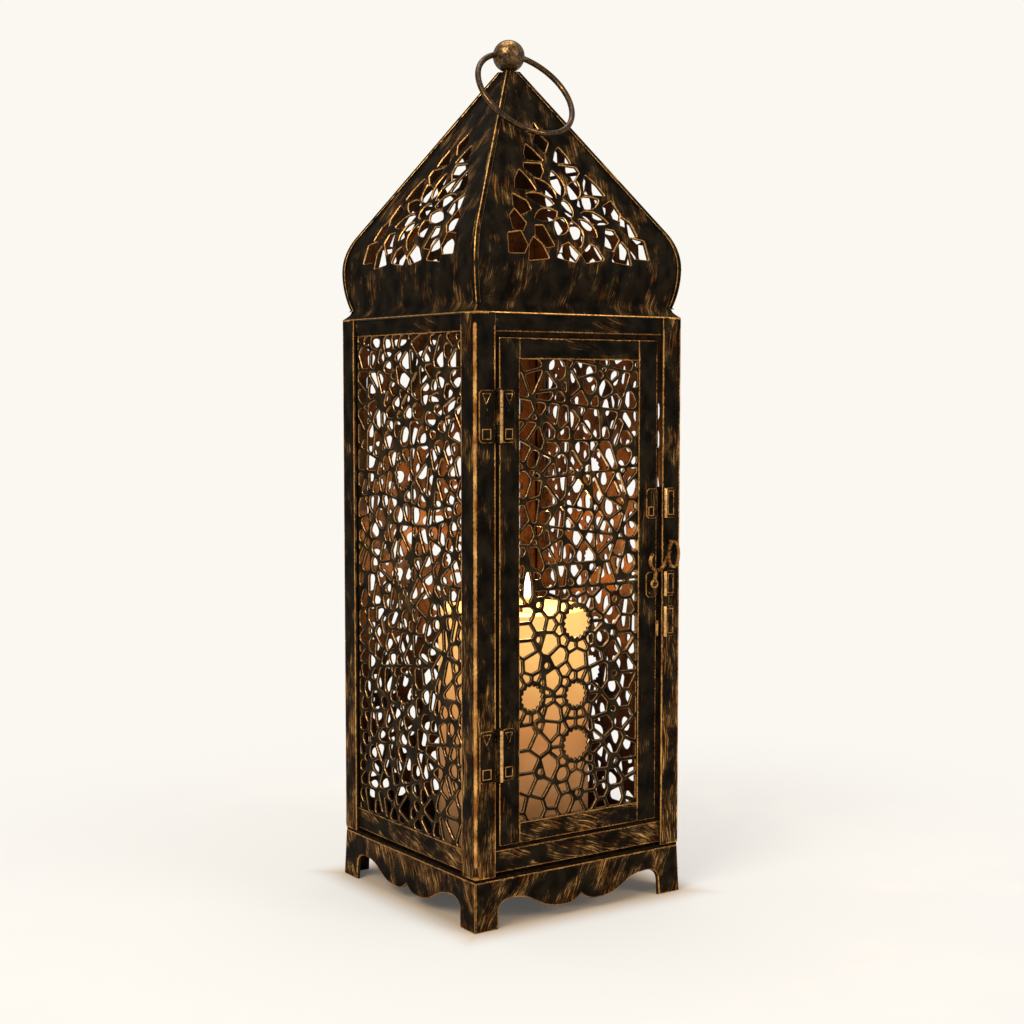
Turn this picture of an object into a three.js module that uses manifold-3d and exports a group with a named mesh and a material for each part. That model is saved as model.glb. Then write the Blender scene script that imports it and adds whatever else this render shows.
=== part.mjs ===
// A square candle lantern in pierced sheet metal, of the kind made in Moroccan
// workshops: corner posts and rails, star lattices on every side, a hinged
// front door, a scalloped base and a four-sided roof with a ball and ring.
// Millimetres, +Z up. The origin is the middle of the footprint, at the floor.
// The door faces -Y, its hinges are at -X and its latch is at +X.

import * as THREE from 'three';
import { mergeVertices } from 'three/addons/utils/BufferGeometryUtils.js';
import Module from 'manifold-3d';

const wasm = await Module();
wasm.setup();

// Driving dimensions

// Fits
const GAP = 0.3;             // clearance between pieces that nearly touch
const RUNNING_GAP = 0.25;    // clearance of a pin or rivet in its hole

// Body: four angle posts with flat rails behind their legs
const BODY_WIDTH = 114;      // over the outsides of the posts
const BODY_HEIGHT = 244.1;   // length of a corner post
const FRAME_SHEET = 1.2;     // sheet of posts, rails, door and base
const POST_LEG = 10.8;       // width of each leg of a corner post
const RAIL_LAP = 4;          // how far a rail runs on behind each post leg
const TOP_RAIL = 8.1;        // height of a top rail
const BOTTOM_RAIL = 9.7;     // height of a bottom rail
const RAIL_LIFT = 1.4;       // bottom rail above the floor plate

// Base: a scalloped apron on each side, cut into bracket feet
const BASE_HEIGHT = 21.7;
const BASE_TOP_INSET = 0.3;  // apron's top edge inside the posts' outside
const BASE_FLARE = 0.8;      // apron's lower edge outside its top edge
const FOOT_WIDTH = 11.8;     // from the corner to the inner edge of a foot
const FOOT_SHOULDER = 7;     // height at which a foot starts to curve
const ARCH_REACH = 38;       // middle of the base to the top of each arch
const ARCH_HEIGHT = 12.6;
const DROP_REACH = 10;       // middle of the base to the lowest point beside it
const DROP_HEIGHT = 4.9;
const CUSP_HEIGHT = 8.4;     // the point in the middle of the apron
const FLOOR_SHEET = 1.4;
const FLOOR_INSET = 0.6;     // floor plate's edge inside the posts' outside

// Pierced lattices: rosettes with twelve petals, set in a honeycomb
const LATTICE_SHEET = 1.2;
const LATTICE_LAP = 3;       // solid border that lies behind the frame
const RIB = 1.8;             // width of the ribs round a rosette
const STAR_PITCH = 56;       // between stars that stand above each other
const STAR_POINTS = 12;
const STAR_TIP = 6.6;        // middle of a star to its points
const STAR_NOTCH = 5.5;      // middle of a star to the notches between them
const PETAL_START = 8.6;     // middle of a star to the petals around it
const SIDE_STAR_HEIGHT = 96; // lowest star of a fixed side, above the floor
const DOOR_STAR_HEIGHT = 76.4;
const SMALLEST_OPENING = 26; // openings under this area are left solid, mm2

// Door
const DOOR_HINGE_GAP = 2;    // between the hinge post and the door
const DOOR_LATCH_GAP = 3.4;  // between the door and the latch post
const DOOR_TOP_GAP = 2.6;
const DOOR_BOTTOM_GAP = 2.2;
const STILE_WIDTH = 10.6;
const DOOR_TOP_RAIL = 9;
const DOOR_BOTTOM_RAIL = 8.9;

// Roof: a curved, four-sided shell
const ROOF_SHEET = 1;
const ROOF_LIP = 4;          // height of the hollow under the bulge
const NECK_INSET = 3.2;      // neck inside the posts' outside
const BULGE_INSET = 1;       // widest part inside the posts' outside
const BULGE_LIFT = 22.3;     // widest part above the top of the posts
const BULGE_RADIUS = 30;     // curve from the bulge into the straight slope
const SKIRT_RADIUS = 57;     // curve from the neck out to the bulge
const SLOPE_ANGLE = 57.2;    // of the straight part, degrees from level
const TIP_HALF = 2.7;        // half width of the cut-off tip
const SEAM_WIDTH = 2;        // of the strip on each side of a roof corner
const SEAM_SHEET = 0.6;

// Roof flower, measured on the slope from the middle of the flower
const FLOWER_RISE = 12.4;    // middle of the flower above the start of the slope
const EYE_RADIUS = 4.2;
const ROOF_PETALS = 10;
const ROOF_PETAL_START = 7.6;
const ROOF_PETAL_END = 18.6;
const ROOF_PETAL_HALF = 2.5;
const ROOF_LEAVES = [
  [[0, 31], [4.4, 37.6], [0, 46], [-4.4, 37.6]],
  [[4.4, 26.6], [14, 25.6], [10.2, 34.2]],
  [[5.6, 22.8], [14.4, 21.2], [9, 17.8]],
  [[16.5, 10.4], [25, 9], [18.4, 18]],
  [[21.6, -0.6], [26, -5.4], [28.4, 4]],
  [[28, -13], [35.4, -8.6], [30.6, -3.2]],
  [[27.6, -22.4], [37.8, -22], [35.6, -15.6], [28, -17.2]],
  [[16.4, -25], [25.4, -25.8], [21.6, -16.6]],
  [[2.6, -25.6], [12.4, -25.6], [7.6, -20.4]],
];

// Finial and its ring
const BALL_RADIUS = 7.4;
const BALL_LIFT = 7;         // middle of the ball above the roof's tip
const STEM_RADIUS = 1.3;
const NUT_FLATS = 6;
const NUT_HEIGHT = 2.4;
const WASHER_SHEET = 1;
const WASHER_DROP = 9.5;     // top of the washer below the roof's tip
const RING_RADIUS = 24.3;    // to the middle of the wire
const RING_WIRE = 1.35;      // radius of the wire
const RING_STRAIGHT = 7.4;   // half length of the straight run in the ball
const RING_TILT = 35.6;      // of the hanging ring, degrees from upright

// Hinges
const HINGE_HEIGHT = 22.5;
const LOWER_HINGE_RISE = 40.1; // middle of the lower hinge above the door's lower edge
const UPPER_HINGE_DROP = 33.6; // middle of the upper hinge below the door's upper edge
const LEAF_SHEET = 0.8;
const FRAME_LEAF = 8.2;
const DOOR_LEAF = 7;
const KNUCKLE_RADIUS = 1.6;
const HINGE_PIN = 0.7;       // radius

// Latch
const PLATE_SHEET = 0.8;
const PLATE_ROLL = 1.0;      // radius of the rolled edge of a post plate
const LATCH_PLATE_WIDTH = 6.4;
const POST_PLATE_WIDTH = 7.2;
const LATCH_PLATE_HEIGHT = 11.6;
const STOP_PLATE_HEIGHT = 13.6;
const STRIKE_PLATE_HEIGHT = 14.1;
const LATCH_RISE = 4.75;     // top of the latch plate above the door's middle
const STOP_RISE = 24.6;      // stop plates above the top of the latch plate
const STRIKE_DROP = 4.6;     // strike plate below the keeper plate
const HOOK_SHEET = 1.2;
const HOOK_WIRE = 1.5;       // width of the hook's bar
const HOOK_RADIUS = 4.3;     // of the curl, to the middle of the bar
const HOOK_LEAN = 0.45;      // middle of the curl right of its pivot, in curl radii
const HOOK_TURN = -30;       // direction in which the curl ends and the leg begins
const HOOK_LEG = 7.6;        // straight leg that reaches into the keeper
const HOOK_EYE = 2.1;        // outer radius of the eye round the rivet
const HOOK_RIVET = 1.1;      // radius of the rivet
const HOOK_PIVOT_BELOW = 5.4; // pivot below the top of the latch plate
const KEEPER_WIDTH = 7;
const KEEPER_HEIGHT = 12.8;
const KEEPER_BAR = 1.1;
const KEEPER_SHEET = 1.4;

// Candle
const CANDLE_RADIUS = 35.5;
const CANDLE_HEIGHT = 109;
const CANDLE_OFFSET = [1.8, -1.2];
const CANDLE_DISH = 2.6;     // depth of the melted pool
const WICK_RADIUS = 0.9;
const WICK_HEIGHT = 6;
const WICK_SINK = 4;         // of the wick, down its hole in the wax
const WICK_OFFSET = [4.6, -3.2];

// Sizes that follow from the ones above

const HALF = BODY_WIDTH / 2;
const FLOOR_TOP = BASE_HEIGHT + FLOOR_SHEET;
const BODY_TOP = FLOOR_TOP + BODY_HEIGHT;
const RAIL_FACE = HALF - FRAME_SHEET;
const LATTICE_FACE = RAIL_FACE - FRAME_SHEET;
const SIDE_OPENING = HALF - POST_LEG;
const WINDOW_BOTTOM = FLOOR_TOP + RAIL_LIFT + BOTTOM_RAIL;
const WINDOW_TOP = BODY_TOP - TOP_RAIL;

const DOOR = {
  left: -SIDE_OPENING + DOOR_HINGE_GAP,
  right: SIDE_OPENING - DOOR_LATCH_GAP,
  bottom: WINDOW_BOTTOM + DOOR_BOTTOM_GAP,
  top: WINDOW_TOP - DOOR_TOP_GAP,
};
const DOOR_WINDOW = {
  left: DOOR.left + STILE_WIDTH,
  right: DOOR.right - STILE_WIDTH,
  bottom: DOOR.bottom + DOOR_BOTTOM_RAIL,
  top: DOOR.top - DOOR_TOP_RAIL,
};

const HINGE_HEIGHTS = [DOOR.bottom + LOWER_HINGE_RISE, DOOR.top - UPPER_HINGE_DROP];
const LATCH_PLATE_TOP = (DOOR.bottom + DOOR.top) / 2 + LATCH_RISE;
const STOP_PLATE_TOP = LATCH_PLATE_TOP + STOP_RISE + STOP_PLATE_HEIGHT;
const STRIKE_PLATE_TOP = LATCH_PLATE_TOP - LATCH_PLATE_HEIGHT - STRIKE_DROP;

// Finishes

function finish(color, roughness, metalness) {
  return new THREE.MeshStandardMaterial({ color, roughness, metalness });
}
const darkBronze = () => finish(0x2a2720, 0.5, 0.8);
const wornBronze = () => finish(0x4a3a26, 0.45, 0.85);
const agedBrass = () => finish(0x7a5a34, 0.4, 0.9);
const ivoryWax = () => finish(0xf0dcb0, 0.6, 0);
const burntCotton = () => finish(0x1c1814, 0.95, 0);

const lantern = new THREE.Group();

function add(name, geometry, material, quarterTurns = 0) {
  const mesh = new THREE.Mesh(geometry, material);
  mesh.name = name;
  mesh.rotation.z = quarterTurns * Math.PI / 2;
  lantern.add(mesh);
  return mesh;
}

const SIDES = ['front', 'right', 'back', 'left'];

// Shapes

function box(left, right, front, back, bottom, top) {
  const geometry = new THREE.BoxGeometry(right - left, back - front, top - bottom);
  return geometry.translate((left + right) / 2, (front + back) / 2, (bottom + top) / 2);
}

function outline(points) {
  return new THREE.Shape(points.map(([x, y]) => new THREE.Vector2(x, y)));
}

// Extrudes a shape drawn upright in X and Z. Its outer face is at -distance.
function upright(shape, distance, thickness, curveSegments = 6) {
  const settings = { depth: thickness, bevelEnabled: false, curveSegments };
  const geometry = new THREE.ExtrudeGeometry(shape, settings);
  return geometry.rotateX(Math.PI / 2).translate(0, thickness - distance, 0);
}

// Extrudes a shape drawn flat in X and Y up from the given height.
function level(shape, bottom, height, curveSegments = 6) {
  const settings = { depth: height, bevelEnabled: false, curveSegments };
  return new THREE.ExtrudeGeometry(shape, settings).translate(0, 0, bottom);
}

// A solid turned about the Z axis, from pairs of radius and height.
function turned(profile, segments) {
  const points = profile.map(([radius, height]) => new THREE.Vector2(radius, height));
  return new THREE.LatheGeometry(points, segments).rotateX(Math.PI / 2);
}

// Joins equal rings of points into one closed skin, capped at both ends.
function loft(rings) {
  const count = rings[0].length;
  const positions = rings.flat(2);
  const faces = [];
  for (let r = 0; r < rings.length - 1; r += 1) {
    for (let i = 0; i < count; i += 1) {
      const a = r * count + i;
      const b = r * count + (i + 1) % count;
      faces.push(a, b, a + count, b, b + count, a + count);
    }
  }
  const flat = rings[0].map(([x, y]) => new THREE.Vector2(x, y));
  const last = (rings.length - 1) * count;
  for (const [a, b, c] of THREE.ShapeUtils.triangulateShape(flat, [])) {
    faces.push(a, c, b);
    faces.push(last + a, last + b, last + c);
  }
  const geometry = new THREE.BufferGeometry();
  geometry.setAttribute('position', new THREE.Float32BufferAttribute(positions, 3));
  geometry.setIndex(faces);
  geometry.computeVertexNormals();
  return geometry;
}

// Cutting and joining

function toSolid(geometry) {
  const bare = geometry.clone();
  bare.deleteAttribute('normal');
  bare.deleteAttribute('uv');
  const merged = mergeVertices(bare, 1e-4);
  const faces = [];
  for (let i = 0; i < merged.index.count; i += 3) {
    const [a, b, c] = merged.index.array.slice(i, i + 3);
    if (a !== b && b !== c && c !== a) faces.push(a, b, c);
  }
  return new wasm.Manifold(new wasm.Mesh({
    numProp: 3,
    vertProperties: new Float32Array(merged.attributes.position.array),
    triVerts: new Uint32Array(faces),
  }));
}

function toGeometry(solid) {
  const mesh = solid.getMesh();
  const geometry = new THREE.BufferGeometry();
  geometry.setAttribute('position', new THREE.BufferAttribute(mesh.vertProperties, 3));
  geometry.setIndex(new THREE.BufferAttribute(mesh.triVerts, 1));
  geometry.computeVertexNormals();
  return geometry;
}

function join(geometries) {
  return toGeometry(geometries.map(toSolid).reduce((all, next) => all.add(next)));
}

function cut(geometry, cutters) {
  return toGeometry(cutters.map(toSolid).reduce((rest, tool) => rest.subtract(tool), toSolid(geometry)));
}

// Several solids that don't touch, in one mesh.
function gather(geometries) {
  const positions = [];
  const faces = [];
  for (const geometry of geometries) {
    const whole = toSolid(geometry).getMesh();
    const start = positions.length / 3;
    positions.push(...whole.vertProperties);
    faces.push(...Array.from(whole.triVerts, (index) => index + start));
  }
  const geometry = new THREE.BufferGeometry();
  geometry.setAttribute('position', new THREE.Float32BufferAttribute(positions, 3));
  geometry.setIndex(faces);
  geometry.computeVertexNormals();
  return geometry;
}

// Pierced lattice

// Keeps the part of a polygon where x * nx + y * ny is no more than limit.
function clip(polygon, nx, ny, limit) {
  const kept = [];
  polygon.forEach((point, i) => {
    const next = polygon[(i + 1) % polygon.length];
    const here = point[0] * nx + point[1] * ny - limit;
    const there = next[0] * nx + next[1] * ny - limit;
    if (here <= 0) kept.push(point);
    if (here * there < 0) {
      const t = here / (here - there);
      kept.push([point[0] + t * (next[0] - point[0]), point[1] + t * (next[1] - point[1])]);
    }
  });
  return kept;
}

function clipToWindow(polygon, window) {
  let kept = clip(polygon, 1, 0, window.right);
  kept = clip(kept, -1, 0, -window.left);
  kept = clip(kept, 0, 1, window.top);
  return clip(kept, 0, -1, -window.bottom);
}

function area(polygon) {
  let twice = 0;
  polygon.forEach(([x, y], i) => {
    const [nextX, nextY] = polygon[(i + 1) % polygon.length];
    twice += x * nextY - nextX * y;
  });
  return Math.abs(twice) / 2;
}

const degrees = Math.PI / 180;

function star() {
  const points = [];
  for (let i = 0; i < 2 * STAR_POINTS; i += 1) {
    const radius = i % 2 ? STAR_NOTCH : STAR_TIP;
    const angle = i * 180 / STAR_POINTS * degrees;
    points.push([radius * Math.cos(angle), radius * Math.sin(angle)]);
  }
  return points;
}

// One petal: a slice between two spokes, from a point near the star to the
// rib round the rosette. The spokes widen towards the star.
function petal(direction) {
  const end = (STAR_PITCH - RIB) / 2;
  const half = end * Math.tan(15 * degrees) - RIB / 2;
  const slice = [[PETAL_START, 0], [end, -half], [end, half]];
  const cos = Math.cos(direction * degrees);
  const sin = Math.sin(direction * degrees);
  return slice.map(([x, y]) => [x * cos - y * sin, x * sin + y * cos]);
}

// The small triangle left where three rosettes meet.
function corner(direction) {
  const reach = STAR_PITCH / Math.sqrt(3);
  const inner = reach - STAR_PITCH / 2 - RIB / 2;
  const far = 4 * inner;
  let triangle = [[-far, -far], [far, -far], [far, far], [-far, far]];
  for (const turn of [60, 180, 300]) {
    const angle = (direction + turn) * degrees;
    triangle = clip(triangle, Math.cos(angle), Math.sin(angle), inner);
  }
  const x = reach * Math.cos(direction * degrees);
  const y = reach * Math.sin(direction * degrees);
  return triangle.map(([px, py]) => [px + x, py + y]);
}

function rosette() {
  const openings = [];
  for (let direction = 0; direction < 360; direction += 30) openings.push(petal(direction));
  openings.push(corner(0), corner(60));
  return openings;
}

// Rosettes over the whole window, in columns half a pitch out of step.
function latticeOpenings(window, starHeight) {
  const columnPitch = STAR_PITCH * Math.sqrt(3) / 2;
  const middle = (window.left + window.right) / 2;
  const openings = [];
  for (let column = -2; column <= 2; column += 1) {
    const x = middle + column * columnPitch;
    const shift = column % 2 ? STAR_PITCH / 2 : 0;
    const lowest = Math.floor((window.bottom - starHeight) / STAR_PITCH) - 1;
    for (let y = starHeight + lowest * STAR_PITCH - shift; y < window.top + STAR_PITCH; y += STAR_PITCH) {
      const place = (shape) => shape.map(([px, py]) => [px + x, py + y]);
      const wholeStar = clipToWindow(place(star()), window).length === 2 * STAR_POINTS;
      if (wholeStar) openings.push(place(star()));
      for (const shape of rosette()) {
        const kept = clipToWindow(place(shape), window);
        if (kept.length > 2 && area(kept) > SMALLEST_OPENING) openings.push(kept);
      }
    }
  }
  return openings;
}

function lattice(window, starHeight, distance) {
  const plate = box(
    window.left - LATTICE_LAP, window.right + LATTICE_LAP, -distance, -distance + LATTICE_SHEET,
    window.bottom - LATTICE_LAP, window.top + LATTICE_LAP,
  );
  const punches = latticeOpenings(window, starHeight).map(
    (opening) => upright(outline(opening), distance + 1, LATTICE_SHEET + 2),
  );
  return cut(plate, [gather(punches)]);
}

// Base

function apronOutline() {
  const top = HALF - BASE_TOP_INSET;
  const foot = top - FOOT_WIDTH;
  const shape = new THREE.Shape();
  shape.moveTo(-top, BASE_HEIGHT);
  shape.lineTo(-top, 0);
  shape.lineTo(-foot, 0);
  shape.lineTo(-foot, FOOT_SHOULDER);
  shape.quadraticCurveTo(-foot, ARCH_HEIGHT, -ARCH_REACH, ARCH_HEIGHT);
  const waist = (ARCH_REACH + DROP_REACH) / 2;
  shape.bezierCurveTo(-waist, ARCH_HEIGHT, -waist, DROP_HEIGHT, -DROP_REACH, DROP_HEIGHT);
  shape.quadraticCurveTo(-DROP_REACH / 3, DROP_HEIGHT, 0, CUSP_HEIGHT);
  shape.quadraticCurveTo(DROP_REACH / 3, DROP_HEIGHT, DROP_REACH, DROP_HEIGHT);
  shape.bezierCurveTo(waist, DROP_HEIGHT, waist, ARCH_HEIGHT, ARCH_REACH, ARCH_HEIGHT);
  shape.quadraticCurveTo(foot, ARCH_HEIGHT, foot, FOOT_SHOULDER);
  shape.lineTo(foot, 0);
  shape.lineTo(top, 0);
  shape.lineTo(top, BASE_HEIGHT);
  return shape;
}

// Bends a flat upright plate into one side of a four-sided shell: its ends are
// mitred, and its face follows a half width that changes with height.
function mitre(geometry, distance, halfWidthAt) {
  const position = geometry.attributes.position;
  for (let i = 0; i < position.count; i += 1) {
    const depth = position.getY(i) + distance;
    const half = halfWidthAt(position.getZ(i)) - depth;
    const across = position.getX(i) / distance;
    position.setXYZ(i, across * (half - GAP / 2), -half, position.getZ(i));
  }
  geometry.computeVertexNormals();
  return geometry;
}

for (let side = 0; side < 4; side += 1) {
  const top = HALF - BASE_TOP_INSET;
  const flat = upright(apronOutline(), top, FRAME_SHEET, 5);
  const flared = (height) => top + BASE_FLARE * (1 - height / BASE_HEIGHT);
  add(`base_apron_${SIDES[side]}`, mitre(flat, top, flared), darkBronze(), side);
}

const floorHalf = HALF - FLOOR_INSET;
add('floor_plate', box(-floorHalf, floorHalf, -floorHalf, floorHalf, BASE_HEIGHT, FLOOR_TOP), darkBronze());

// Posts, rails and fixed lattices

const postSection = outline([
  [-HALF, -HALF], [-SIDE_OPENING, -HALF], [-SIDE_OPENING, -RAIL_FACE],
  [-RAIL_FACE, -RAIL_FACE], [-RAIL_FACE, -SIDE_OPENING], [-HALF, -SIDE_OPENING],
]);
const POSTS = ['front_left', 'front_right', 'back_right', 'back_left'];
const railHalf = SIDE_OPENING + RAIL_LAP;
for (let side = 0; side < 4; side += 1) {
  add(`corner_post_${POSTS[side]}`, level(postSection, FLOOR_TOP, BODY_HEIGHT), darkBronze(), side);
  add(`bottom_rail_${SIDES[side]}`, box(
    -railHalf, railHalf, -RAIL_FACE, -LATTICE_FACE, FLOOR_TOP + RAIL_LIFT, WINDOW_BOTTOM,
  ), darkBronze(), side);
  add(`top_rail_${SIDES[side]}`, box(
    -railHalf, railHalf, -RAIL_FACE, -LATTICE_FACE, WINDOW_TOP, BODY_TOP,
  ), darkBronze(), side);
}

const sideWindow = { left: -SIDE_OPENING, right: SIDE_OPENING, bottom: WINDOW_BOTTOM, top: WINDOW_TOP };
const sideLattice = lattice(sideWindow, SIDE_STAR_HEIGHT, LATTICE_FACE);
for (const side of [1, 2, 3]) add(`lattice_${SIDES[side]}`, sideLattice, darkBronze(), side);

// Door

add('door_stile_hinge', box(
  DOOR.left, DOOR_WINDOW.left, -HALF, -RAIL_FACE, DOOR.bottom, DOOR.top,
), darkBronze());
add('door_stile_latch', box(
  DOOR_WINDOW.right, DOOR.right, -HALF, -RAIL_FACE, DOOR.bottom, DOOR.top,
), darkBronze());
add('door_rail_top', box(
  DOOR_WINDOW.left, DOOR_WINDOW.right, -HALF, -RAIL_FACE, DOOR_WINDOW.top, DOOR.top,
), darkBronze());
add('door_rail_bottom', box(
  DOOR_WINDOW.left, DOOR_WINDOW.right, -HALF, -RAIL_FACE, DOOR.bottom, DOOR_WINDOW.bottom,
), darkBronze());
add('door_lattice', lattice(DOOR_WINDOW, DOOR_STAR_HEIGHT, RAIL_FACE), darkBronze());

// Roof

const SLOPE = SLOPE_ANGLE * degrees;
const NECK_TOP = BODY_TOP + ROOF_LIP;
const BULGE_Z = BODY_TOP + BULGE_LIFT;
const BULGE_HALF = HALF - BULGE_INSET;
const SLOPE_Z = BULGE_Z + BULGE_RADIUS * Math.cos(SLOPE);
const SLOPE_HALF = BULGE_HALF - BULGE_RADIUS * (1 - Math.sin(SLOPE));
const TIP_Z = SLOPE_Z + (SLOPE_HALF - TIP_HALF) * Math.tan(SLOPE);

// Half width of the roof's outside at a height.
function roofHalf(height) {
  if (height > SLOPE_Z) return SLOPE_HALF - (height - SLOPE_Z) / Math.tan(SLOPE);
  if (height > BULGE_Z) {
    return BULGE_HALF - BULGE_RADIUS + Math.sqrt(BULGE_RADIUS ** 2 - (height - BULGE_Z) ** 2);
  }
  if (height > NECK_TOP) {
    return BULGE_HALF - SKIRT_RADIUS + Math.sqrt(SKIRT_RADIUS ** 2 - (BULGE_Z - height) ** 2);
  }
  const rise = (height - BODY_TOP) / ROOF_LIP;
  return HALF - NECK_INSET * Math.sin(rise * Math.PI / 2);
}

function roofHeights() {
  const heights = [];
  const spans = [[BODY_TOP, NECK_TOP, 2], [NECK_TOP, BULGE_Z, 3], [BULGE_Z, SLOPE_Z, 3]];
  for (const [from, to, steps] of spans) {
    for (let i = 0; i < steps; i += 1) heights.push(from + (to - from) * i / steps);
  }
  heights.push(SLOPE_Z, TIP_Z);
  return heights;
}

// Thickness measured level through a sheet that slopes.
function levelThickness(sheet) {
  return sheet / Math.sin(SLOPE);
}

function roofPanel() {
  const thick = levelThickness(ROOF_SHEET);
  const rings = roofHeights().map((height) => {
    const outer = roofHalf(height);
    const inner = outer - thick;
    const outerX = outer - GAP / 2;
    const innerX = inner - GAP / 2;
    return [
      [-outerX, -outer, height], [outerX, -outer, height],
      [innerX, -inner, height], [-innerX, -inner, height],
    ];
  });
  return loft(rings);
}

// A pointed oval along a direction, for the petals round the eye.
function pointedOval(direction) {
  const length = ROOF_PETAL_END - ROOF_PETAL_START;
  const stations = [[0, 0], [0.35, 1], [0.7, 0.9], [1, 0]];
  const right = stations.slice(1, -1).map(([t, w]) => [ROOF_PETAL_START + t * length, -w * ROOF_PETAL_HALF]);
  const left = stations.slice(1, -1).reverse().map(([t, w]) => [ROOF_PETAL_START + t * length, w * ROOF_PETAL_HALF]);
  const flat = [[ROOF_PETAL_START, 0], ...right, [ROOF_PETAL_END, 0], ...left];
  const angle = direction * degrees;
  return flat.map(([along, across]) => [
    along * Math.cos(angle) - across * Math.sin(angle),
    along * Math.sin(angle) + across * Math.cos(angle),
  ]);
}

function roofOpenings() {
  const openings = [];
  const eye = [];
  for (let i = 0; i < 8; i += 1) {
    const angle = (i + 0.5) * 45 * degrees;
    eye.push([EYE_RADIUS * Math.cos(angle), EYE_RADIUS * Math.sin(angle)]);
  }
  openings.push(eye);
  for (let i = 0; i < ROOF_PETALS; i += 1) openings.push(pointedOval(90 + i * 360 / ROOF_PETALS));
  for (const leaf of ROOF_LEAVES) {
    openings.push(leaf);
    const onAxis = leaf.some(([x]) => x < 0);
    if (!onAxis) openings.push(leaf.map(([x, y]) => [-x, y]).reverse());
  }
  return openings;
}

// Punches run square to the slope, through the middle of the flower. They
// reach further in than out, because the sheet bends inwards below it.
const PUNCH_OUT = 5;
const PUNCH_IN = 9;
const roofCutters = roofOpenings().map((opening) => {
  const settings = { depth: PUNCH_OUT + PUNCH_IN, bevelEnabled: false };
  const tool = new THREE.ExtrudeGeometry(outline(opening), settings);
  tool.translate(0, 0, -PUNCH_IN).rotateX(SLOPE);
  const middle = SLOPE_HALF - FLOWER_RISE * Math.cos(SLOPE);
  return tool.translate(0, -middle, SLOPE_Z + FLOWER_RISE * Math.sin(SLOPE));
});
const piercedPanel = cut(roofPanel(), [gather(roofCutters)]);

// A corner strip: an angle that follows the roof's outline over the joint.
function roofSeam() {
  const thick = levelThickness(SEAM_SHEET);
  const rings = roofHeights().slice(2).map((height) => {
    const inner = roofHalf(height) + GAP;
    const outer = inner + thick;
    const edge = Math.max(inner - SEAM_WIDTH, 0.4);
    return [
      [-outer, -outer, height], [-edge, -outer, height], [-edge, -inner, height],
      [-inner, -inner, height], [-inner, -edge, height], [-outer, -edge, height],
    ];
  });
  return loft(rings);
}

for (let side = 0; side < 4; side += 1) {
  add(`roof_panel_${SIDES[side]}`, piercedPanel, darkBronze(), side);
  add(`roof_seam_${POSTS[side]}`, roofSeam(), wornBronze(), side);
}

// Finial: ball and stem in one turned piece, cross-drilled for the ring

const BALL_Z = TIP_Z + BALL_LIFT;
const collar = Math.sqrt(BALL_RADIUS ** 2 - BALL_LIFT ** 2);
const washerTop = TIP_Z - WASHER_DROP;
const nutTop = washerTop - WASHER_SHEET;
const stemBottom = nutTop - NUT_HEIGHT - 1.2;
const ballProfile = [[0, stemBottom], [STEM_RADIUS, stemBottom], [STEM_RADIUS, TIP_Z], [collar, TIP_Z]];
const startAngle = -Math.asin(BALL_LIFT / BALL_RADIUS);
const ballSteps = 7;
for (let i = 1; i <= ballSteps; i += 1) {
  const angle = startAngle + (Math.PI / 2 - startAngle) * i / ballSteps;
  const radius = i === ballSteps ? 0 : BALL_RADIUS * Math.cos(angle);
  ballProfile.push([radius, BALL_Z + BALL_RADIUS * Math.sin(angle)]);
}
const ringBore = new THREE.CylinderGeometry(
  RING_WIRE + RUNNING_GAP, RING_WIRE + RUNNING_GAP, 3 * BALL_RADIUS, 12,
);
ringBore.rotateZ(Math.PI / 2).translate(0, 0, BALL_Z);
add('finial_ball', cut(turned(ballProfile, 12), [ringBore]), agedBrass());

const washerRadius = roofHalf(washerTop) - levelThickness(ROOF_SHEET) - GAP;
const stemHole = STEM_RADIUS + RUNNING_GAP;
add('finial_washer', turned([
  [stemHole, nutTop], [washerRadius, nutTop], [washerRadius, washerTop], [stemHole, washerTop], [stemHole, nutTop],
], 12), wornBronze());

const nutShape = new THREE.Shape();
for (let i = 0; i < 6; i += 1) {
  const angle = i * 60 * degrees;
  const radius = NUT_FLATS / Math.sqrt(3);
  nutShape[i ? 'lineTo' : 'moveTo'](radius * Math.cos(angle), radius * Math.sin(angle));
}
const nutHole = new THREE.Path();
nutHole.absarc(0, 0, stemHole, 0, 2 * Math.PI, true);
nutShape.holes.push(nutHole);
add('finial_nut', level(nutShape, nutTop - NUT_HEIGHT, NUT_HEIGHT, 6), wornBronze());

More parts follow.
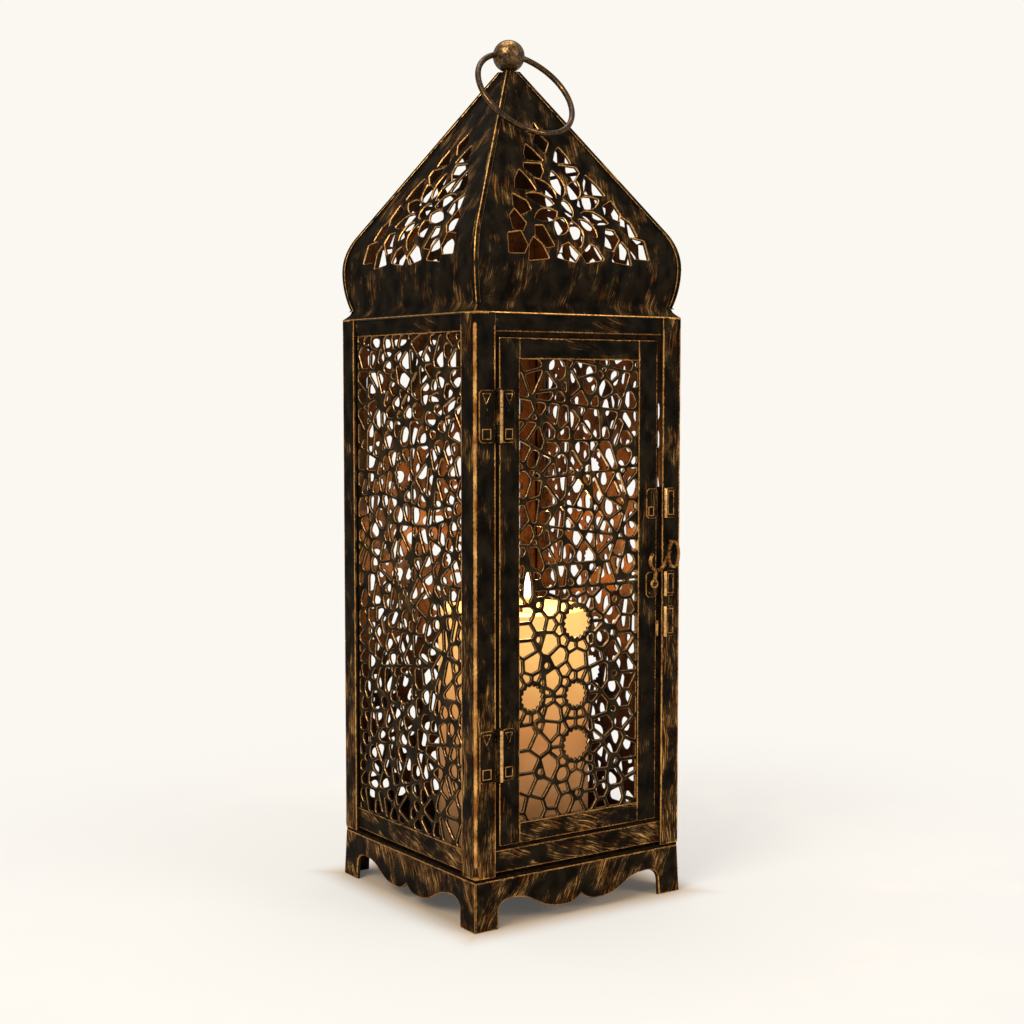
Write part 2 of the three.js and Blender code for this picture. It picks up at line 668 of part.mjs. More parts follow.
// The ring: a wire bent into a round bow with a straight run through the ball
function handleRing() {
  const sides = 6;
  const steps = 28;
  const drop = Math.sqrt(RING_RADIUS ** 2 - RING_STRAIGHT ** 2);
  const half = Math.acos(drop / RING_RADIUS);
  const centres = [];
  for (let i = 0; i <= steps; i += 1) {
    const angle = half + (2 * Math.PI - 2 * half) * i / steps;
    centres.push([RING_RADIUS * Math.sin(angle), -drop + RING_RADIUS * Math.cos(angle)]);
  }
  centres.push([0, 0]);
  const rings = centres.map(([x, z], i) => {
    const [beforeX, beforeZ] = centres[(i + centres.length - 1) % centres.length];
    const [afterX, afterZ] = centres[(i + 1) % centres.length];
    const along = new THREE.Vector2(afterX - beforeX, afterZ - beforeZ).normalize();
    const ring = [];
    for (let s = 0; s < sides; s += 1) {
      const angle = (s + 0.5) * 2 * Math.PI / sides;
      const out = RING_WIRE * Math.cos(angle);
      ring.push([x - along.y * out, RING_WIRE * Math.sin(angle), z + along.x * out]);
    }
    return ring;
  });
  const faces = [];
  rings.forEach((ring, r) => {
    for (let s = 0; s < sides; s += 1) {
      const a = r * sides + s;
      const b = r * sides + (s + 1) % sides;
      const c = ((r + 1) % rings.length) * sides + s;
      const d = ((r + 1) % rings.length) * sides + (s + 1) % sides;
      faces.push(a, c, b, b, c, d);
    }
  });
  const geometry = new THREE.BufferGeometry();
  geometry.setAttribute('position', new THREE.Float32BufferAttribute(rings.flat(2), 3));
  geometry.setIndex(faces);
  geometry.computeVertexNormals();
  return geometry;
}
const ring = add('handle_ring', handleRing(), agedBrass());
ring.position.set(0, 0, BALL_Z);
ring.rotation.x = -RING_TILT * degrees;

// Hinges

const PIN_X = -SIDE_OPENING + DOOR_HINGE_GAP / 2;
const PIN_Y = -HALF - KNUCKLE_RADIUS;
const KNUCKLE_BORE = HINGE_PIN + RUNNING_GAP;

// A leaf with its sheet rolled round the pin, seen from above. side is -1 for
// the leaf on the post and 1 for the leaf on the door.
function rolledLeaf(side, width) {
  const edge = PIN_X + side * (width + KNUCKLE_RADIUS);
  const shape = new THREE.Shape();
  const meet = Math.asin((KNUCKLE_RADIUS - LEAF_SHEET) / KNUCKLE_RADIUS);
  const from = side < 0 ? Math.PI - meet : meet;
  shape.moveTo(edge, -HALF);
  shape.lineTo(edge, -HALF - LEAF_SHEET);
  const to = side < 0 ? 2 * Math.PI + Math.PI / 2 : Math.PI / 2 - 2 * Math.PI;
  shape.absarc(PIN_X, PIN_Y, KNUCKLE_RADIUS, from, to, side > 0);
  const bore = new THREE.Path();
  bore.absarc(PIN_X, PIN_Y, KNUCKLE_BORE, 0, 2 * Math.PI, side < 0);
  shape.holes.push(bore);
  return shape;
}

function hingeLeaf(side, width, knuckles, middle) {
  const bottom = middle - HINGE_HEIGHT / 2;
  const third = HINGE_HEIGHT / 3;
  const near = PIN_X + side * (KNUCKLE_RADIUS + GAP);
  const far = PIN_X + side * (width + KNUCKLE_RADIUS);
  const plate = box(
    Math.min(near, far), Math.max(near, far), -HALF - LEAF_SHEET, -HALF, bottom, bottom + HINGE_HEIGHT,
  );
  const rolls = knuckles.map((index) => {
    const low = bottom + index * third + (index > 0 ? GAP / 2 : 0);
    const high = bottom + (index + 1) * third - (index < 2 ? GAP / 2 : 0);
    return level(rolledLeaf(side, width), low, high - low, 6);
  });
  return join([plate, ...rolls]);
}

function hingePin(middle) {
  const low = middle - HINGE_HEIGHT / 2 - 0.6;
  const seat = middle + HINGE_HEIGHT / 2;
  const head = KNUCKLE_RADIUS * 0.8;
  return turned([
    [0, low], [HINGE_PIN, low], [HINGE_PIN, seat], [head, seat], [head, seat + 0.5], [0, seat + 0.9],
  ], 8).translate(PIN_X, PIN_Y, 0);
}

['lower', 'upper'].forEach((place, i) => {
  add(`hinge_leaf_frame_${place}`, hingeLeaf(-1, FRAME_LEAF, [0, 2], HINGE_HEIGHTS[i]), wornBronze());
  add(`hinge_leaf_door_${place}`, hingeLeaf(1, DOOR_LEAF, [1], HINGE_HEIGHTS[i]), wornBronze());
  add(`hinge_pin_${place}`, hingePin(HINGE_HEIGHTS[i]), agedBrass());
});

// Latch

const LATCH_PLATE_LEFT = DOOR.right - LATCH_PLATE_WIDTH;
const POST_PLATE_LEFT = SIDE_OPENING;

function doorPlate(top, height) {
  return box(LATCH_PLATE_LEFT, DOOR.right, -HALF - PLATE_SHEET, -HALF, top - height, top);
}

// A plate on the latch post, with its inner edge rolled into a bead.
function postPlate(top, height) {
  const right = POST_PLATE_LEFT + POST_PLATE_WIDTH;
  const bead = POST_PLATE_LEFT + PLATE_ROLL;
  const meet = Math.asin((PLATE_ROLL - PLATE_SHEET) / PLATE_ROLL);
  const shape = new THREE.Shape();
  shape.moveTo(right, -HALF);
  shape.lineTo(right, -HALF - PLATE_SHEET);
  shape.absarc(bead, -HALF - PLATE_ROLL, PLATE_ROLL, meet, Math.PI / 2 - 2 * Math.PI, true);
  return level(shape, top - height, height, 8);
}

add('latch_plate', doorPlate(LATCH_PLATE_TOP, LATCH_PLATE_HEIGHT), wornBronze());
add('stop_plate_door', doorPlate(STOP_PLATE_TOP, STOP_PLATE_HEIGHT), wornBronze());
add('stop_plate_post', postPlate(STOP_PLATE_TOP, STOP_PLATE_HEIGHT), wornBronze());
add('keeper_plate', postPlate(LATCH_PLATE_TOP, LATCH_PLATE_HEIGHT), wornBronze());
add('strike_plate', postPlate(STRIKE_PLATE_TOP, STRIKE_PLATE_HEIGHT), wornBronze());

// The hook: an eye on its pivot, a short shank and a curl open at the top
const PIVOT_X = LATCH_PLATE_LEFT + LATCH_PLATE_WIDTH * 0.6;
const PIVOT_Z = LATCH_PLATE_TOP - HOOK_PIVOT_BELOW;
const HOOK_BACK = HALF + PLATE_SHEET + GAP;
function arcBar(radius, width, from, to) {
  const shape = new THREE.Shape();
  shape.absarc(0, 0, radius + width / 2, from * degrees, to * degrees, false);
  shape.absarc(0, 0, radius - width / 2, to * degrees, from * degrees, true);
  return shape;
}

function latchHook() {
  const front = HOOK_BACK + HOOK_SHEET;
  const curlX = HOOK_RADIUS * HOOK_LEAN;
  const curlZ = HOOK_PIVOT_BELOW + HOOK_RADIUS + HOOK_WIRE / 2;
  const half = HOOK_WIRE / 2;
  const eye = new THREE.Shape();
  eye.absarc(0, 0, HOOK_EYE, 0, 2 * Math.PI, false);
  const shank = outline([
    [-half, 0], [half, 0], [curlX + half, curlZ - HOOK_RADIUS], [curlX - half, curlZ - HOOK_RADIUS],
  ]);
  const curl = upright(arcBar(HOOK_RADIUS, HOOK_WIRE, 130, 360 + HOOK_TURN), front, HOOK_SHEET, 9);
  const leg = outline([
    [-half, -half / 2], [half, -half / 2], [half * 0.7, HOOK_LEG], [-half * 0.7, HOOK_LEG],
  ]);
  const turn = HOOK_TURN * degrees;
  const legPlate = upright(leg, front, HOOK_SHEET).rotateY(-turn);
  legPlate.translate(curlX + HOOK_RADIUS * Math.cos(turn), 0, curlZ + HOOK_RADIUS * Math.sin(turn));
  const bore = new THREE.CylinderGeometry(HOOK_RIVET + RUNNING_GAP, HOOK_RIVET + RUNNING_GAP, 20, 10);
  bore.translate(0, -HOOK_BACK, 0);
  const body = join([
    upright(eye, front, HOOK_SHEET, 7),
    upright(shank, front, HOOK_SHEET),
    curl.translate(curlX, 0, curlZ),
    legPlate,
  ]);
  return cut(body, [bore]).translate(PIVOT_X, 0, PIVOT_Z);
}
add('latch_hook', latchHook(), agedBrass());

const rivetStart = HALF + PLATE_SHEET;
const rivetSeat = HOOK_BACK + HOOK_SHEET + RUNNING_GAP;
const latchRivet = turned([
  [0, 0], [HOOK_RIVET, 0], [HOOK_RIVET, rivetSeat - rivetStart], [HOOK_EYE * 0.85, rivetSeat - rivetStart],
  [HOOK_EYE * 0.6, rivetSeat - rivetStart + 0.7], [0, rivetSeat - rivetStart + 0.9],
], 10);
add('latch_rivet', latchRivet.rotateX(Math.PI / 2).translate(PIVOT_X, -rivetStart, PIVOT_Z), agedBrass());

// The keeper: an oval eye that stands off the post on two legs
function keeperLoop() {
  const x = POST_PLATE_LEFT + 0.7 + KEEPER_WIDTH / 2;
  const z = LATCH_PLATE_TOP + GAP + KEEPER_BAR + KEEPER_HEIGHT / 2;
  const back = HOOK_BACK + HOOK_SHEET + GAP;
  const shape = new THREE.Shape();
  shape.absellipse(x, z, KEEPER_WIDTH / 2, KEEPER_HEIGHT / 2, 0, 2 * Math.PI, false, 0);
  const hollow = new THREE.Path();
  hollow.absellipse(x, z, KEEPER_WIDTH / 2 - KEEPER_BAR, KEEPER_HEIGHT / 2 - KEEPER_BAR, 0, 2 * Math.PI, true, 0);
  shape.holes.push(hollow);
  const loop = upright(shape, back + KEEPER_SHEET, KEEPER_SHEET, 9);
  const legs = [-1, 1].map((end) => {
    const legZ = z + end * (KEEPER_HEIGHT / 2 - KEEPER_BAR / 2);
    const half = KEEPER_BAR / 2;
    return box(x - half, x + half, -back - KEEPER_SHEET / 2, -HALF, legZ - half, legZ + half);
  });
  return join([loop, ...legs]);
}
add('keeper_loop', keeperLoop(), agedBrass());

// Candle

const [candleX, candleY] = CANDLE_OFFSET;
const [wickX, wickY] = WICK_OFFSET;
const candleTop = FLOOR_TOP + CANDLE_HEIGHT;
const poolZ = candleTop - CANDLE_DISH;
const wax = turned([
  [0, FLOOR_TOP], [CANDLE_RADIUS, FLOOR_TOP], [CANDLE_RADIUS, candleTop - 1.5],
  [CANDLE_RADIUS - 1.5, candleTop], [CANDLE_RADIUS - 4, candleTop],
  [CANDLE_RADIUS * 0.7, poolZ], [0, poolZ],
], 22).translate(candleX, candleY, 0);
const wickHole = new THREE.CylinderGeometry(WICK_RADIUS + GAP, WICK_RADIUS + GAP, WICK_SINK + 2, 8);
wickHole.rotateX(Math.PI / 2).translate(wickX, wickY, poolZ - WICK_SINK / 2 + 1);
add('candle', cut(wax, [wickHole]), ivoryWax());
add('wick', turned([
  [0, poolZ - WICK_SINK], [WICK_RADIUS, poolZ - WICK_SINK], [WICK_RADIUS * 0.8, poolZ + WICK_HEIGHT], [0, poolZ + WICK_HEIGHT],
], 8).translate(wickX, wickY, 0), burntCotton());

export default lantern;
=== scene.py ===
# A pierced Moroccan candle lantern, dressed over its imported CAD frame.
# Lengths are in millimetres up to the point where a mesh is made. Camera, lights
# and the size of the floor are in metres.

import math
import random

import bmesh
import bpy
from mathutils import Matrix, Vector, geometry, noise
from mathutils.kdtree import KDTree


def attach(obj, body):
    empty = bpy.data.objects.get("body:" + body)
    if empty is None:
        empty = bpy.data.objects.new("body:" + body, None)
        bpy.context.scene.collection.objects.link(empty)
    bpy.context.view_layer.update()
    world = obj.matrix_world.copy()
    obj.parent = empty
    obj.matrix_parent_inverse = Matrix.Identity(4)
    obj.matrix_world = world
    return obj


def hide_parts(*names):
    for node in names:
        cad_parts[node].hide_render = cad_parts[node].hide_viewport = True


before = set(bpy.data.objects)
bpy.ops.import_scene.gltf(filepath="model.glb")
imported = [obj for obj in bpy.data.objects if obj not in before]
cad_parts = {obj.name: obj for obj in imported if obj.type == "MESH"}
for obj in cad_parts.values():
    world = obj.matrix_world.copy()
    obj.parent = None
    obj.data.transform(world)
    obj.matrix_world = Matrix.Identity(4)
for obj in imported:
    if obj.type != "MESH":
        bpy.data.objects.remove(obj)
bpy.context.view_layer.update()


# Camera, backdrop and lights. The camera stands where the photograph was taken
# from: in front of the left post, a little above the middle of the lantern.


def add_object(name, data):
    made = bpy.data.objects.new(name, data)
    bpy.context.collection.objects.link(made)
    return made


camera = add_object("camera", bpy.data.cameras.new("camera"))
bpy.context.scene.camera = camera
camera.data.lens = 59.56
camera.data.sensor_width = 36
camera.data.clip_end = 50
right = Vector((0.8215, -0.5703, 0)).normalized()
back = Vector((-0.5688, -0.8195, 0.0703)).normalized()
facing = Matrix((right, back.cross(right), back)).transposed().to_4x4()
camera.matrix_world = Matrix.Translation((-0.4525, -0.6545, 0.2330)) @ facing

bpy.context.scene.view_settings.view_transform = "Standard"


def from_hex(code):
    """A colour as the screen shows it, turned into the renderer's own scale."""
    channels = [int(code[i : i + 2], 16) / 255 for i in (0, 2, 4)]
    linear = [c / 12.92 if c <= 0.04045 else ((c + 0.055) / 1.055) ** 2.4 for c in channels]
    return (*linear, 1)


def cos_sin(degrees):
    angle = math.radians(degrees)
    return math.cos(angle), math.sin(angle)


def around(count):
    """Cosine and sine at even steps round a circle."""
    return [cos_sin(360 / count * i) for i in range(count)]


BACKDROP = from_hex("fbf8f2")

world = bpy.data.worlds.new("studio")
bpy.context.scene.world = world
world.use_nodes = True
tree = world.node_tree
tree.nodes.clear()
seen = tree.nodes.new("ShaderNodeBackground")
seen.inputs["Color"].default_value = BACKDROP
lighting = tree.nodes.new("ShaderNodeBackground")
lighting.inputs["Color"].default_value = (1, 0.985, 0.96, 1)
lighting.inputs["Strength"].default_value = 0.42
path = tree.nodes.new("ShaderNodeLightPath")
choose = tree.nodes.new("ShaderNodeMixShader")
output = tree.nodes.new("ShaderNodeOutputWorld")
tree.links.new(path.outputs["Is Camera Ray"], choose.inputs["Fac"])
tree.links.new(lighting.outputs[0], choose.inputs[1])
tree.links.new(seen.outputs[0], choose.inputs[2])
tree.links.new(choose.outputs[0], output.inputs["Surface"])

for name, place, aim, size, power, colour in (
    ("key", (-1.3, -0.5, 1.3), (0, 0, 0.2), 0.9, 22, (1, 0.98, 0.95)),
    ("fill", (0.7, -1.5, 0.9), (0, 0, 0.2), 0.7, 12, (1, 0.98, 0.96)),
    ("overhead", (0.1, 0.3, 1.8), (0, 0, 0.1), 1.2, 10, (1, 0.99, 0.97)),
):
    lamp = add_object(name, bpy.data.lights.new(name, "AREA"))
    lamp.data.size = size
    lamp.data.energy = power
    lamp.data.color = colour
    lamp.location = place
    lamp.rotation_mode = "QUATERNION"
    lamp.rotation_quaternion = (Vector(aim) - Vector(place)).to_track_quat("-Z", "Y")

flame_light = add_object("candle_light", bpy.data.lights.new("candle_light", "POINT"))
flame_light.data.energy = 0.6
flame_light.data.color = (1, 0.60, 0.25)
flame_light.data.shadow_soft_size = 0.004
flame_light.location = (0.0070, -0.0047, 0.1580)


# Materials are written as sums on the coordinates of a surface. A Number is one
# socket of a node tree, and ordinary arithmetic on it adds the nodes.


class Number:
    def __init__(self, shade, socket):
        self.shade = shade
        self.socket = socket

    def _do(self, operation, *others):
        node = self.shade.node("ShaderNodeMath", operation=operation)
        for socket, value in zip(node.inputs, (self, *others)):
            self.shade.plug(socket, value)
        return Number(self.shade, node.outputs[0])

    def __add__(self, other):
        return self._do("ADD", other)

    def __sub__(self, other):
        return self._do("SUBTRACT", other)

    def __mul__(self, other):
        return self._do("MULTIPLY", other)

    def __pow__(self, other):
        return self._do("POWER", other)

    def __rsub__(self, other):
        return self._do("MULTIPLY", -1)._do("ADD", other)

    __radd__ = __add__
    __rmul__ = __mul__

    def most(self, other):
        return self._do("MAXIMUM", other)

    def least(self, other):
        return self._do("MINIMUM", other)

    def step(self, low, high):
        """0 below low, 1 above high and smooth between."""
        node = self.shade.node("ShaderNodeMapRange", interpolation_type="SMOOTHSTEP")
        self.shade.plug(node.inputs["Value"], self)
        node.inputs["From Min"].default_value = low
        node.inputs["From Max"].default_value = high
        return Number(self.shade, node.outputs[0])


class Shade:
    """One material and its node tree."""

    def __init__(self, name):
        self.material = bpy.data.materials.new(name)
        self.material.use_nodes = True
        self.tree = self.material.node_tree
        self.shader = self.tree.nodes["Principled BSDF"]

    def node(self, kind, **settings):
        node = self.tree.nodes.new(kind)
        for key, value in settings.items():
            setattr(node, key, value)
        return node

    def plug(self, socket, value):
        """Links a socket, or gives it a number or a colour in hex digits."""
        if isinstance(value, Number):
            value = value.socket
        if isinstance(value, bpy.types.NodeSocket):
            self.tree.links.new(value, socket)
        else:
            socket.default_value = from_hex(value) if isinstance(value, str) else value

    def _parts(self, socket):
        split = self.node("ShaderNodeSeparateXYZ")
        self.plug(split.inputs[0], socket)
        return [Number(self, out) for out in split.outputs]

    def sheet_place(self):
        """Millimetres across and along the grain of a sheet."""
        return self._parts(self.node("ShaderNodeUVMap", uv_map="sheet").outputs[0])[:2]

    def place(self):
        """Millimetres along X, Y and Z."""
        spot = self._parts(self.node("ShaderNodeTexCoord").outputs["Object"])
        return [axis * 1000 for axis in spot]

    def rub(self):
        """1 at the edges of a sheet, where hands and cloths wear it, and 0 inside."""
        node = self.node("ShaderNodeAttribute", attribute_name="rub")
        return Number(self, node.outputs["Fac"])

    def noise(self, x, y, z=0.0, detail=2.0, roughness=0.5):
        join = self.node("ShaderNodeCombineXYZ")
        for socket, value in zip(join.inputs, (x, y, z)):
            self.plug(socket, value)
        node = self.node("ShaderNodeTexNoise")
        self.plug(node.inputs["Vector"], join.outputs[0])
        node.inputs["Scale"].default_value = 1
        node.inputs["Detail"].default_value = detail
        node.inputs["Roughness"].default_value = roughness
        return Number(self, node.outputs["Fac"])

    def cloud(self, spot, scale, detail=4, roughness=0.6):
        """Noise that is as large along X, Y and Z."""
        return self.noise(*[axis * scale for axis in spot], detail, roughness)

    def colour(self, factor, low, high):
        """The colour low where the factor is 0, and high where it is 1."""
        node = self.node("ShaderNodeMix", data_type="RGBA")
        for socket, value in (("Factor", factor), ("A", low), ("B", high)):
            self.plug(node.inputs[socket], value)
        return node.outputs[2]

    def relief(self, height, depth, strength):
        """Bumps of a depth in millimetres."""
        node = self.node("ShaderNodeBump")
        node.inputs["Distance"].default_value = depth / 1000
        node.inputs["Strength"].default_value = strength
        self.plug(node.inputs["Height"], height)
        self.plug(self.shader.inputs["Normal"], node.outputs[0])

    def set(self, **sockets):
        for key, value in sockets.items():
            socket = key.replace("_", " ").title().replace("Ior", "IOR")
            self.plug(self.shader.inputs[socket], value)
        return self.material


DARK_WARM = "211a10"


def painted_bronze(shade, u, v, rub, strokes, patchy, low=None, reach=1.0, lift=0.0):
    """Near-black paint, with copper gold where a dry brush touched it: in
    bundles of fine strokes along v, in specks, and along rubbed edges. Below
    low there is more gold, reach makes strokes long, and lift greys the paint."""
    drift = shade.noise(u * 0.04, v * 0.035, 3.0) * 12
    wide = shade.noise(u * 1.8 + drift, v * (0.06 / reach), 0.0, 3, 0.6)
    fine = shade.noise(u * 4.0 + drift * 2, v * (0.13 / reach), 4.0, 2, 0.6)
    patches = shade.noise(u * 0.09, v * 0.05, 5.0, 4, 0.6)
    if low:
        patches = patches + v.step(low[1], low[0]) * 0.15
    bundle = patches.step(0.58 - patchy * 0.14, 0.74 - patchy * 0.14)
    stroke = (wide.step(0.57, 0.63) * 0.8 + fine.step(0.56, 0.64) * 0.6).least(1.0) * bundle
    grain = shade.noise(u * 2.1, v * 1.7, 2.0, 4, 0.7)
    speck = grain.step(0.66, 0.71) * (bundle * 0.7 + 0.2)
    haze = grain.step(0.42, 0.85) * bundle * 0.2
    wander = shade.noise(u * 2.4, v * 0.7, 7.0, 4, 0.65)
    worn = (rub * 0.75 + wander * 0.8).step(1.04, 1.20)
    gold = ((stroke + speck + haze) * strokes).most(worn).least(1.0)
    tint = shade.noise(u * 0.16, v * 0.10, 1.0, 3, 0.5)
    paint = shade.colour(
        (tint.step(0.3, 0.75) * (1 - lift) + grain * lift).least(1.0),
        shade.colour(lift, "090704", "2a2115"),
        shade.colour(lift, DARK_WARM, "6a5538"),
    )
    metal = shade.colour(tint.step(0.35, 0.7), "86501f", "eaae60")
    shade.relief(wide * 0.4 + grain * 0.4 + gold * 0.3, 0.10, 0.45)
    return shade.set(
        specular_ior_level=0.02,
        base_color=shade.colour(gold * 0.95, paint, metal),
        metallic=gold * 0.3,
        roughness=tint * 0.2 + 0.36,
    )


def sheet_bronze(name, strokes, patchy, edge=1.0, **more):
    shade = Shade(name)
    u, v = shade.sheet_place()
    return painted_bronze(shade, u, v, shade.rub() * edge, strokes, patchy, **more)


def rubbed_edge(name, amount, low, high):
    """The cut edge of a sheet, where the gold stays on in broken lines."""
    shade = Shade(name)
    spot = shade.place()
    broken = shade.cloud(spot, 0.22, 4, 0.7)
    gold = broken.step(0.62 - amount * 0.35, 0.78 - amount * 0.30)
    tint = shade.cloud(spot, 1.1, 3)
    shade.relief(tint, 0.08, 0.4)
    return shade.set(
        specular_ior_level=0.1,
        base_color=shade.colour(gold, DARK_WARM, shade.colour(tint.step(0.3, 0.7), low, high)),
        metallic=gold * 0.7 + 0.05,
        roughness=0.48 - gold * 0.16,
    )


def inside_bronze():
    """The side that faces the candle: bare copper brown under a film of soot,
    which is thickest high up in the roof."""
    shade = Shade("inside of the sheets")
    x, y, z = shade.place()
    soot = shade.noise(x * 0.06, y * 0.06, z * 0.05, 4, 0.6)
    grain = shade.cloud((x, y, z), 0.8, 3)
    bare = (soot * 0.8 + grain * 0.3).step(0.40, 0.75) * (z.step(335, 296) * 0.85 + 0.15)
    shade.relief(grain, 0.1, 0.4)
    return shade.set(
        specular_ior_level=0.1,
        base_color=shade.colour(bare, "0e0703", "543213"),
        metallic=bare * 0.12,
        roughness=0.62 - bare * 0.15,
    )


inner_face = inside_bronze()


# Flat outlines. A contour is a list of points, each with the direction that
# leads from the opening, or from the outside, into the metal.


def pairs(points):
    """Each point of a loop with the one after it."""
    return zip(points, points[1:] + points[:1])


def clip(polygon, nx, ny, limit):
    """The part of a polygon where x * nx + y * ny is no more than limit."""
    kept = []
    for (x, y), (nextx, nexty) in pairs(polygon):
        here = x * nx + y * ny - limit
        there = nextx * nx + nexty * ny - limit
        if here <= 0:
            kept.append((x, y))
        if here * there < 0:
            t = here / (here - there)
            kept.append((x + t * (nextx - x), y + t * (nexty - y)))
    return kept


def area(polygon):
    return sum(x * nexty - nextx * y for (x, y), (nextx, nexty) in pairs(polygon)) / 2


def middle(polygon):
    return tuple(sum(axis) / len(polygon) for axis in zip(*polygon))


def tidy(polygon, least=0.05):
    """The polygon without points that lie on top of each other."""
    kept = []
    for x, y in polygon:
        if not kept or math.dist(kept[-1], (x, y)) > least:
            kept.append((x, y))
    while len(kept) > 1 and math.dist(kept[0], kept[-1]) <= least:
        kept.pop()
    return kept


def rounded(polygon, radius, inset=0.0, turn=30):
    """A convex, anticlockwise opening, inset and with round corners."""
    while radius > 0.12:
        core = polygon
        for (x, y), (nextx, nexty) in pairs(polygon):
            length = math.dist((x, y), (nextx, nexty))
            nx, ny = (nexty - y) / length, (x - nextx) / length
            core = clip(core, nx, ny, x * nx + y * ny - inset - radius)
        core = tidy(core)
        if len(core) > 2 and area(core) > 0.15:
            break
        radius *= 0.7
    else:
        return None
    contour = []
    for i, (x, y) in enumerate(core):
        beforex, beforey = core[i - 1]
        nextx, nexty = core[(i + 1) % len(core)]
        first = math.atan2(beforex - x, y - beforey)
        last = math.atan2(x - nextx, nexty - y)
        sweep = (last - first) % (2 * math.pi)
        steps = max(1, math.ceil(sweep / math.radians(turn)))
        for step in range(steps + 1):
            angle = first + sweep * step / steps
            dx, dy = math.cos(angle), math.sin(angle)
            contour.append(((x + radius * dx, y + radius * dy), (dx, dy)))
    return contour


def edged(points, into_left):
    """A contour from plain points, with directions from its edges' bisectors."""
    contour = []
    for i, (x, y) in enumerate(points):
        beforex, beforey = points[i - 1]
        nextx, nexty = points[(i + 1) % len(points)]
        one = Vector((beforey - y, x - beforex)).normalized()
        two = Vector((y - nexty, nextx - x)).normalized()
        both = one + two
        into = both / max(both.length_squared / 2, 0.5)
        if not into_left:
            into = -into
        contour.append(((x, y), (into.x, into.y)))
    return contour


# Sheets. Every plate of the lantern, flat or bent, is one call: an outline, its
# openings, and a rule that says where a point of the flat pattern goes. The
# visible edge is chamfered, and the chamfer and the cut walls have materials
# of their own.


def new_mesh():
    """An empty mesh with a layer for wear and one for places on the sheet."""
    mesh = bmesh.new()
    return mesh, mesh.verts.layers.float.new("rub"), mesh.loops.layers.uv.new("sheet")


def sheet(name, body, nodes, outline, place, holes=(), thickness=1.2, chamfer=0.22,
          border=2.2, inner=(), grain=0.0, faces=(), smooth=False):
    """Border is how far wear reaches in from the edges, inner has more points
    (x, y, wear), and faces are the materials of front, chamfer and cut wall."""
    contours = [outline, *holes]
    starts = []
    flat = []
    for contour in contours:
        starts.append(len(flat))
        flat.extend((x + dx * chamfer, y + dy * chamfer) for (x, y), (dx, dy) in contour)
    ring_count = len(flat)
    rubs = [1.0] * ring_count
    close = KDTree(ring_count)
    for i, (x, y) in enumerate(flat):
        close.insert((x, y, 0), i)
    close.balance()
    extra = list(inner)
    if border:
        for contour in contours:
            for (x, y), (dx, dy) in contour:
                extra.append((x + dx * border, y + dy * border, 0.0))
    for x, y, worn in extra:
        room = 0.55 * border if worn == 0 and border else 0.3
        if close.find((x, y, 0))[2] > room:
            flat.append((x, y))
            rubs.append(worn)
    rings = [list(range(start, start + len(c))) for start, c in zip(starts, contours)]
    points, _, triangles, made_from, _, inside = geometry.delaunay_2d_cdt(
        [Vector(p) for p in flat], [], rings, 1, 1e-5
    )
    mesh, worn_layer, grid = new_mesh()
    where = {}

    def vertex(x, y, depth, worn):
        made = mesh.verts.new([c / 1000 for c in place(x, y, depth)])
        made[worn_layer] = worn
        where[made] = (x, y, depth)
        return made

    back = []
    wall = []
    for contour in contours:
        for (x, y), _ in contour:
            wall.append(vertex(x, y, chamfer, 1.0))
            back.append(vertex(x, y, thickness, 0.5))
    front_of = []
    back_of = []
    ring_front = {}
    for i, point in enumerate(points):
        source = made_from[i][0] if made_from[i] else None
        worn = 1.0 if source is None else rubs[source]
        front_of.append(vertex(point.x, point.y, 0.0, worn))
        for s in made_from[i]:
            if s < ring_count:
                ring_front[s] = front_of[i]
        if source is not None and source < ring_count:
            back_of.append(back[source])
        else:
            back_of.append(vertex(point.x, point.y, thickness, 0.0))
    for triangle, owners in zip(triangles, inside):
        if list(owners) != [0] or len(set(triangle)) < 3:
            continue
        face = mesh.faces.new([front_of[i] for i in triangle])
        face.smooth = smooth
        behind = [back_of[i] for i in reversed(triangle)]
        if len(set(behind)) == 3 and not mesh.faces.get(behind):
            face = mesh.faces.new(behind)
            face.smooth = smooth
            face.material_index = 3
    for number, (start, contour) in enumerate(zip(starts, contours)):
        count = len(contour)
        for i in range(count):
            a, b = start + i, start + (i + 1) % count
            if number:
                a, b = b, a
            if a not in ring_front or b not in ring_front:
                continue
            for index, quad in (
                (1, (ring_front[b], ring_front[a], wall[a], wall[b])),
                (2, (wall[b], wall[a], back[a], back[b])),
            ):
                if len(set(quad)) == 4 and not mesh.faces.get(quad):
                    face = mesh.faces.new(quad)
                    face.material_index = index
                    face.smooth = False
                    for edge in face.edges:
                        edge.smooth = False
    cos, sin = cos_sin(grain)
    for face in mesh.faces:
        for loop in face.loops:
            x, y, depth = where[loop.vert]
            loop[grid].uv = (x * cos + y * sin + depth, y * cos - x * sin)
    loose = [v for v in mesh.verts if not v.link_faces]
    bmesh.ops.delete(mesh, geom=loose, context="VERTS")
    bmesh.ops.recalc_face_normals(mesh, faces=mesh.faces)
    finish_piece(name, mesh, [*faces, inner_face], body, nodes)


def finish_piece(name, mesh, materials, body, nodes):
    """Turns a bmesh into a piece that rides on a body and stands for nodes."""
    data = bpy.data.meshes.new(name)
    mesh.to_mesh(data)
    mesh.free()
    for material in materials:
        data.materials.append(material)
    piece = add_object(name, data)
    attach(piece, body)
    if nodes:
        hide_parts(*nodes)


HALF = 57  # half the width over the posts
SHEET = 1.2
FLOOR_TOP, WALL_TOP = 23.1, 267.2
SIDES = ["front", "right", "back", "left"]
CORNERS = ["front_left", "front_right", "back_right", "back_left"]


def turn(point, quarters):
    x, y, z = point
    for _ in range(quarters):
        x, y = -y, x
    return x, y, z


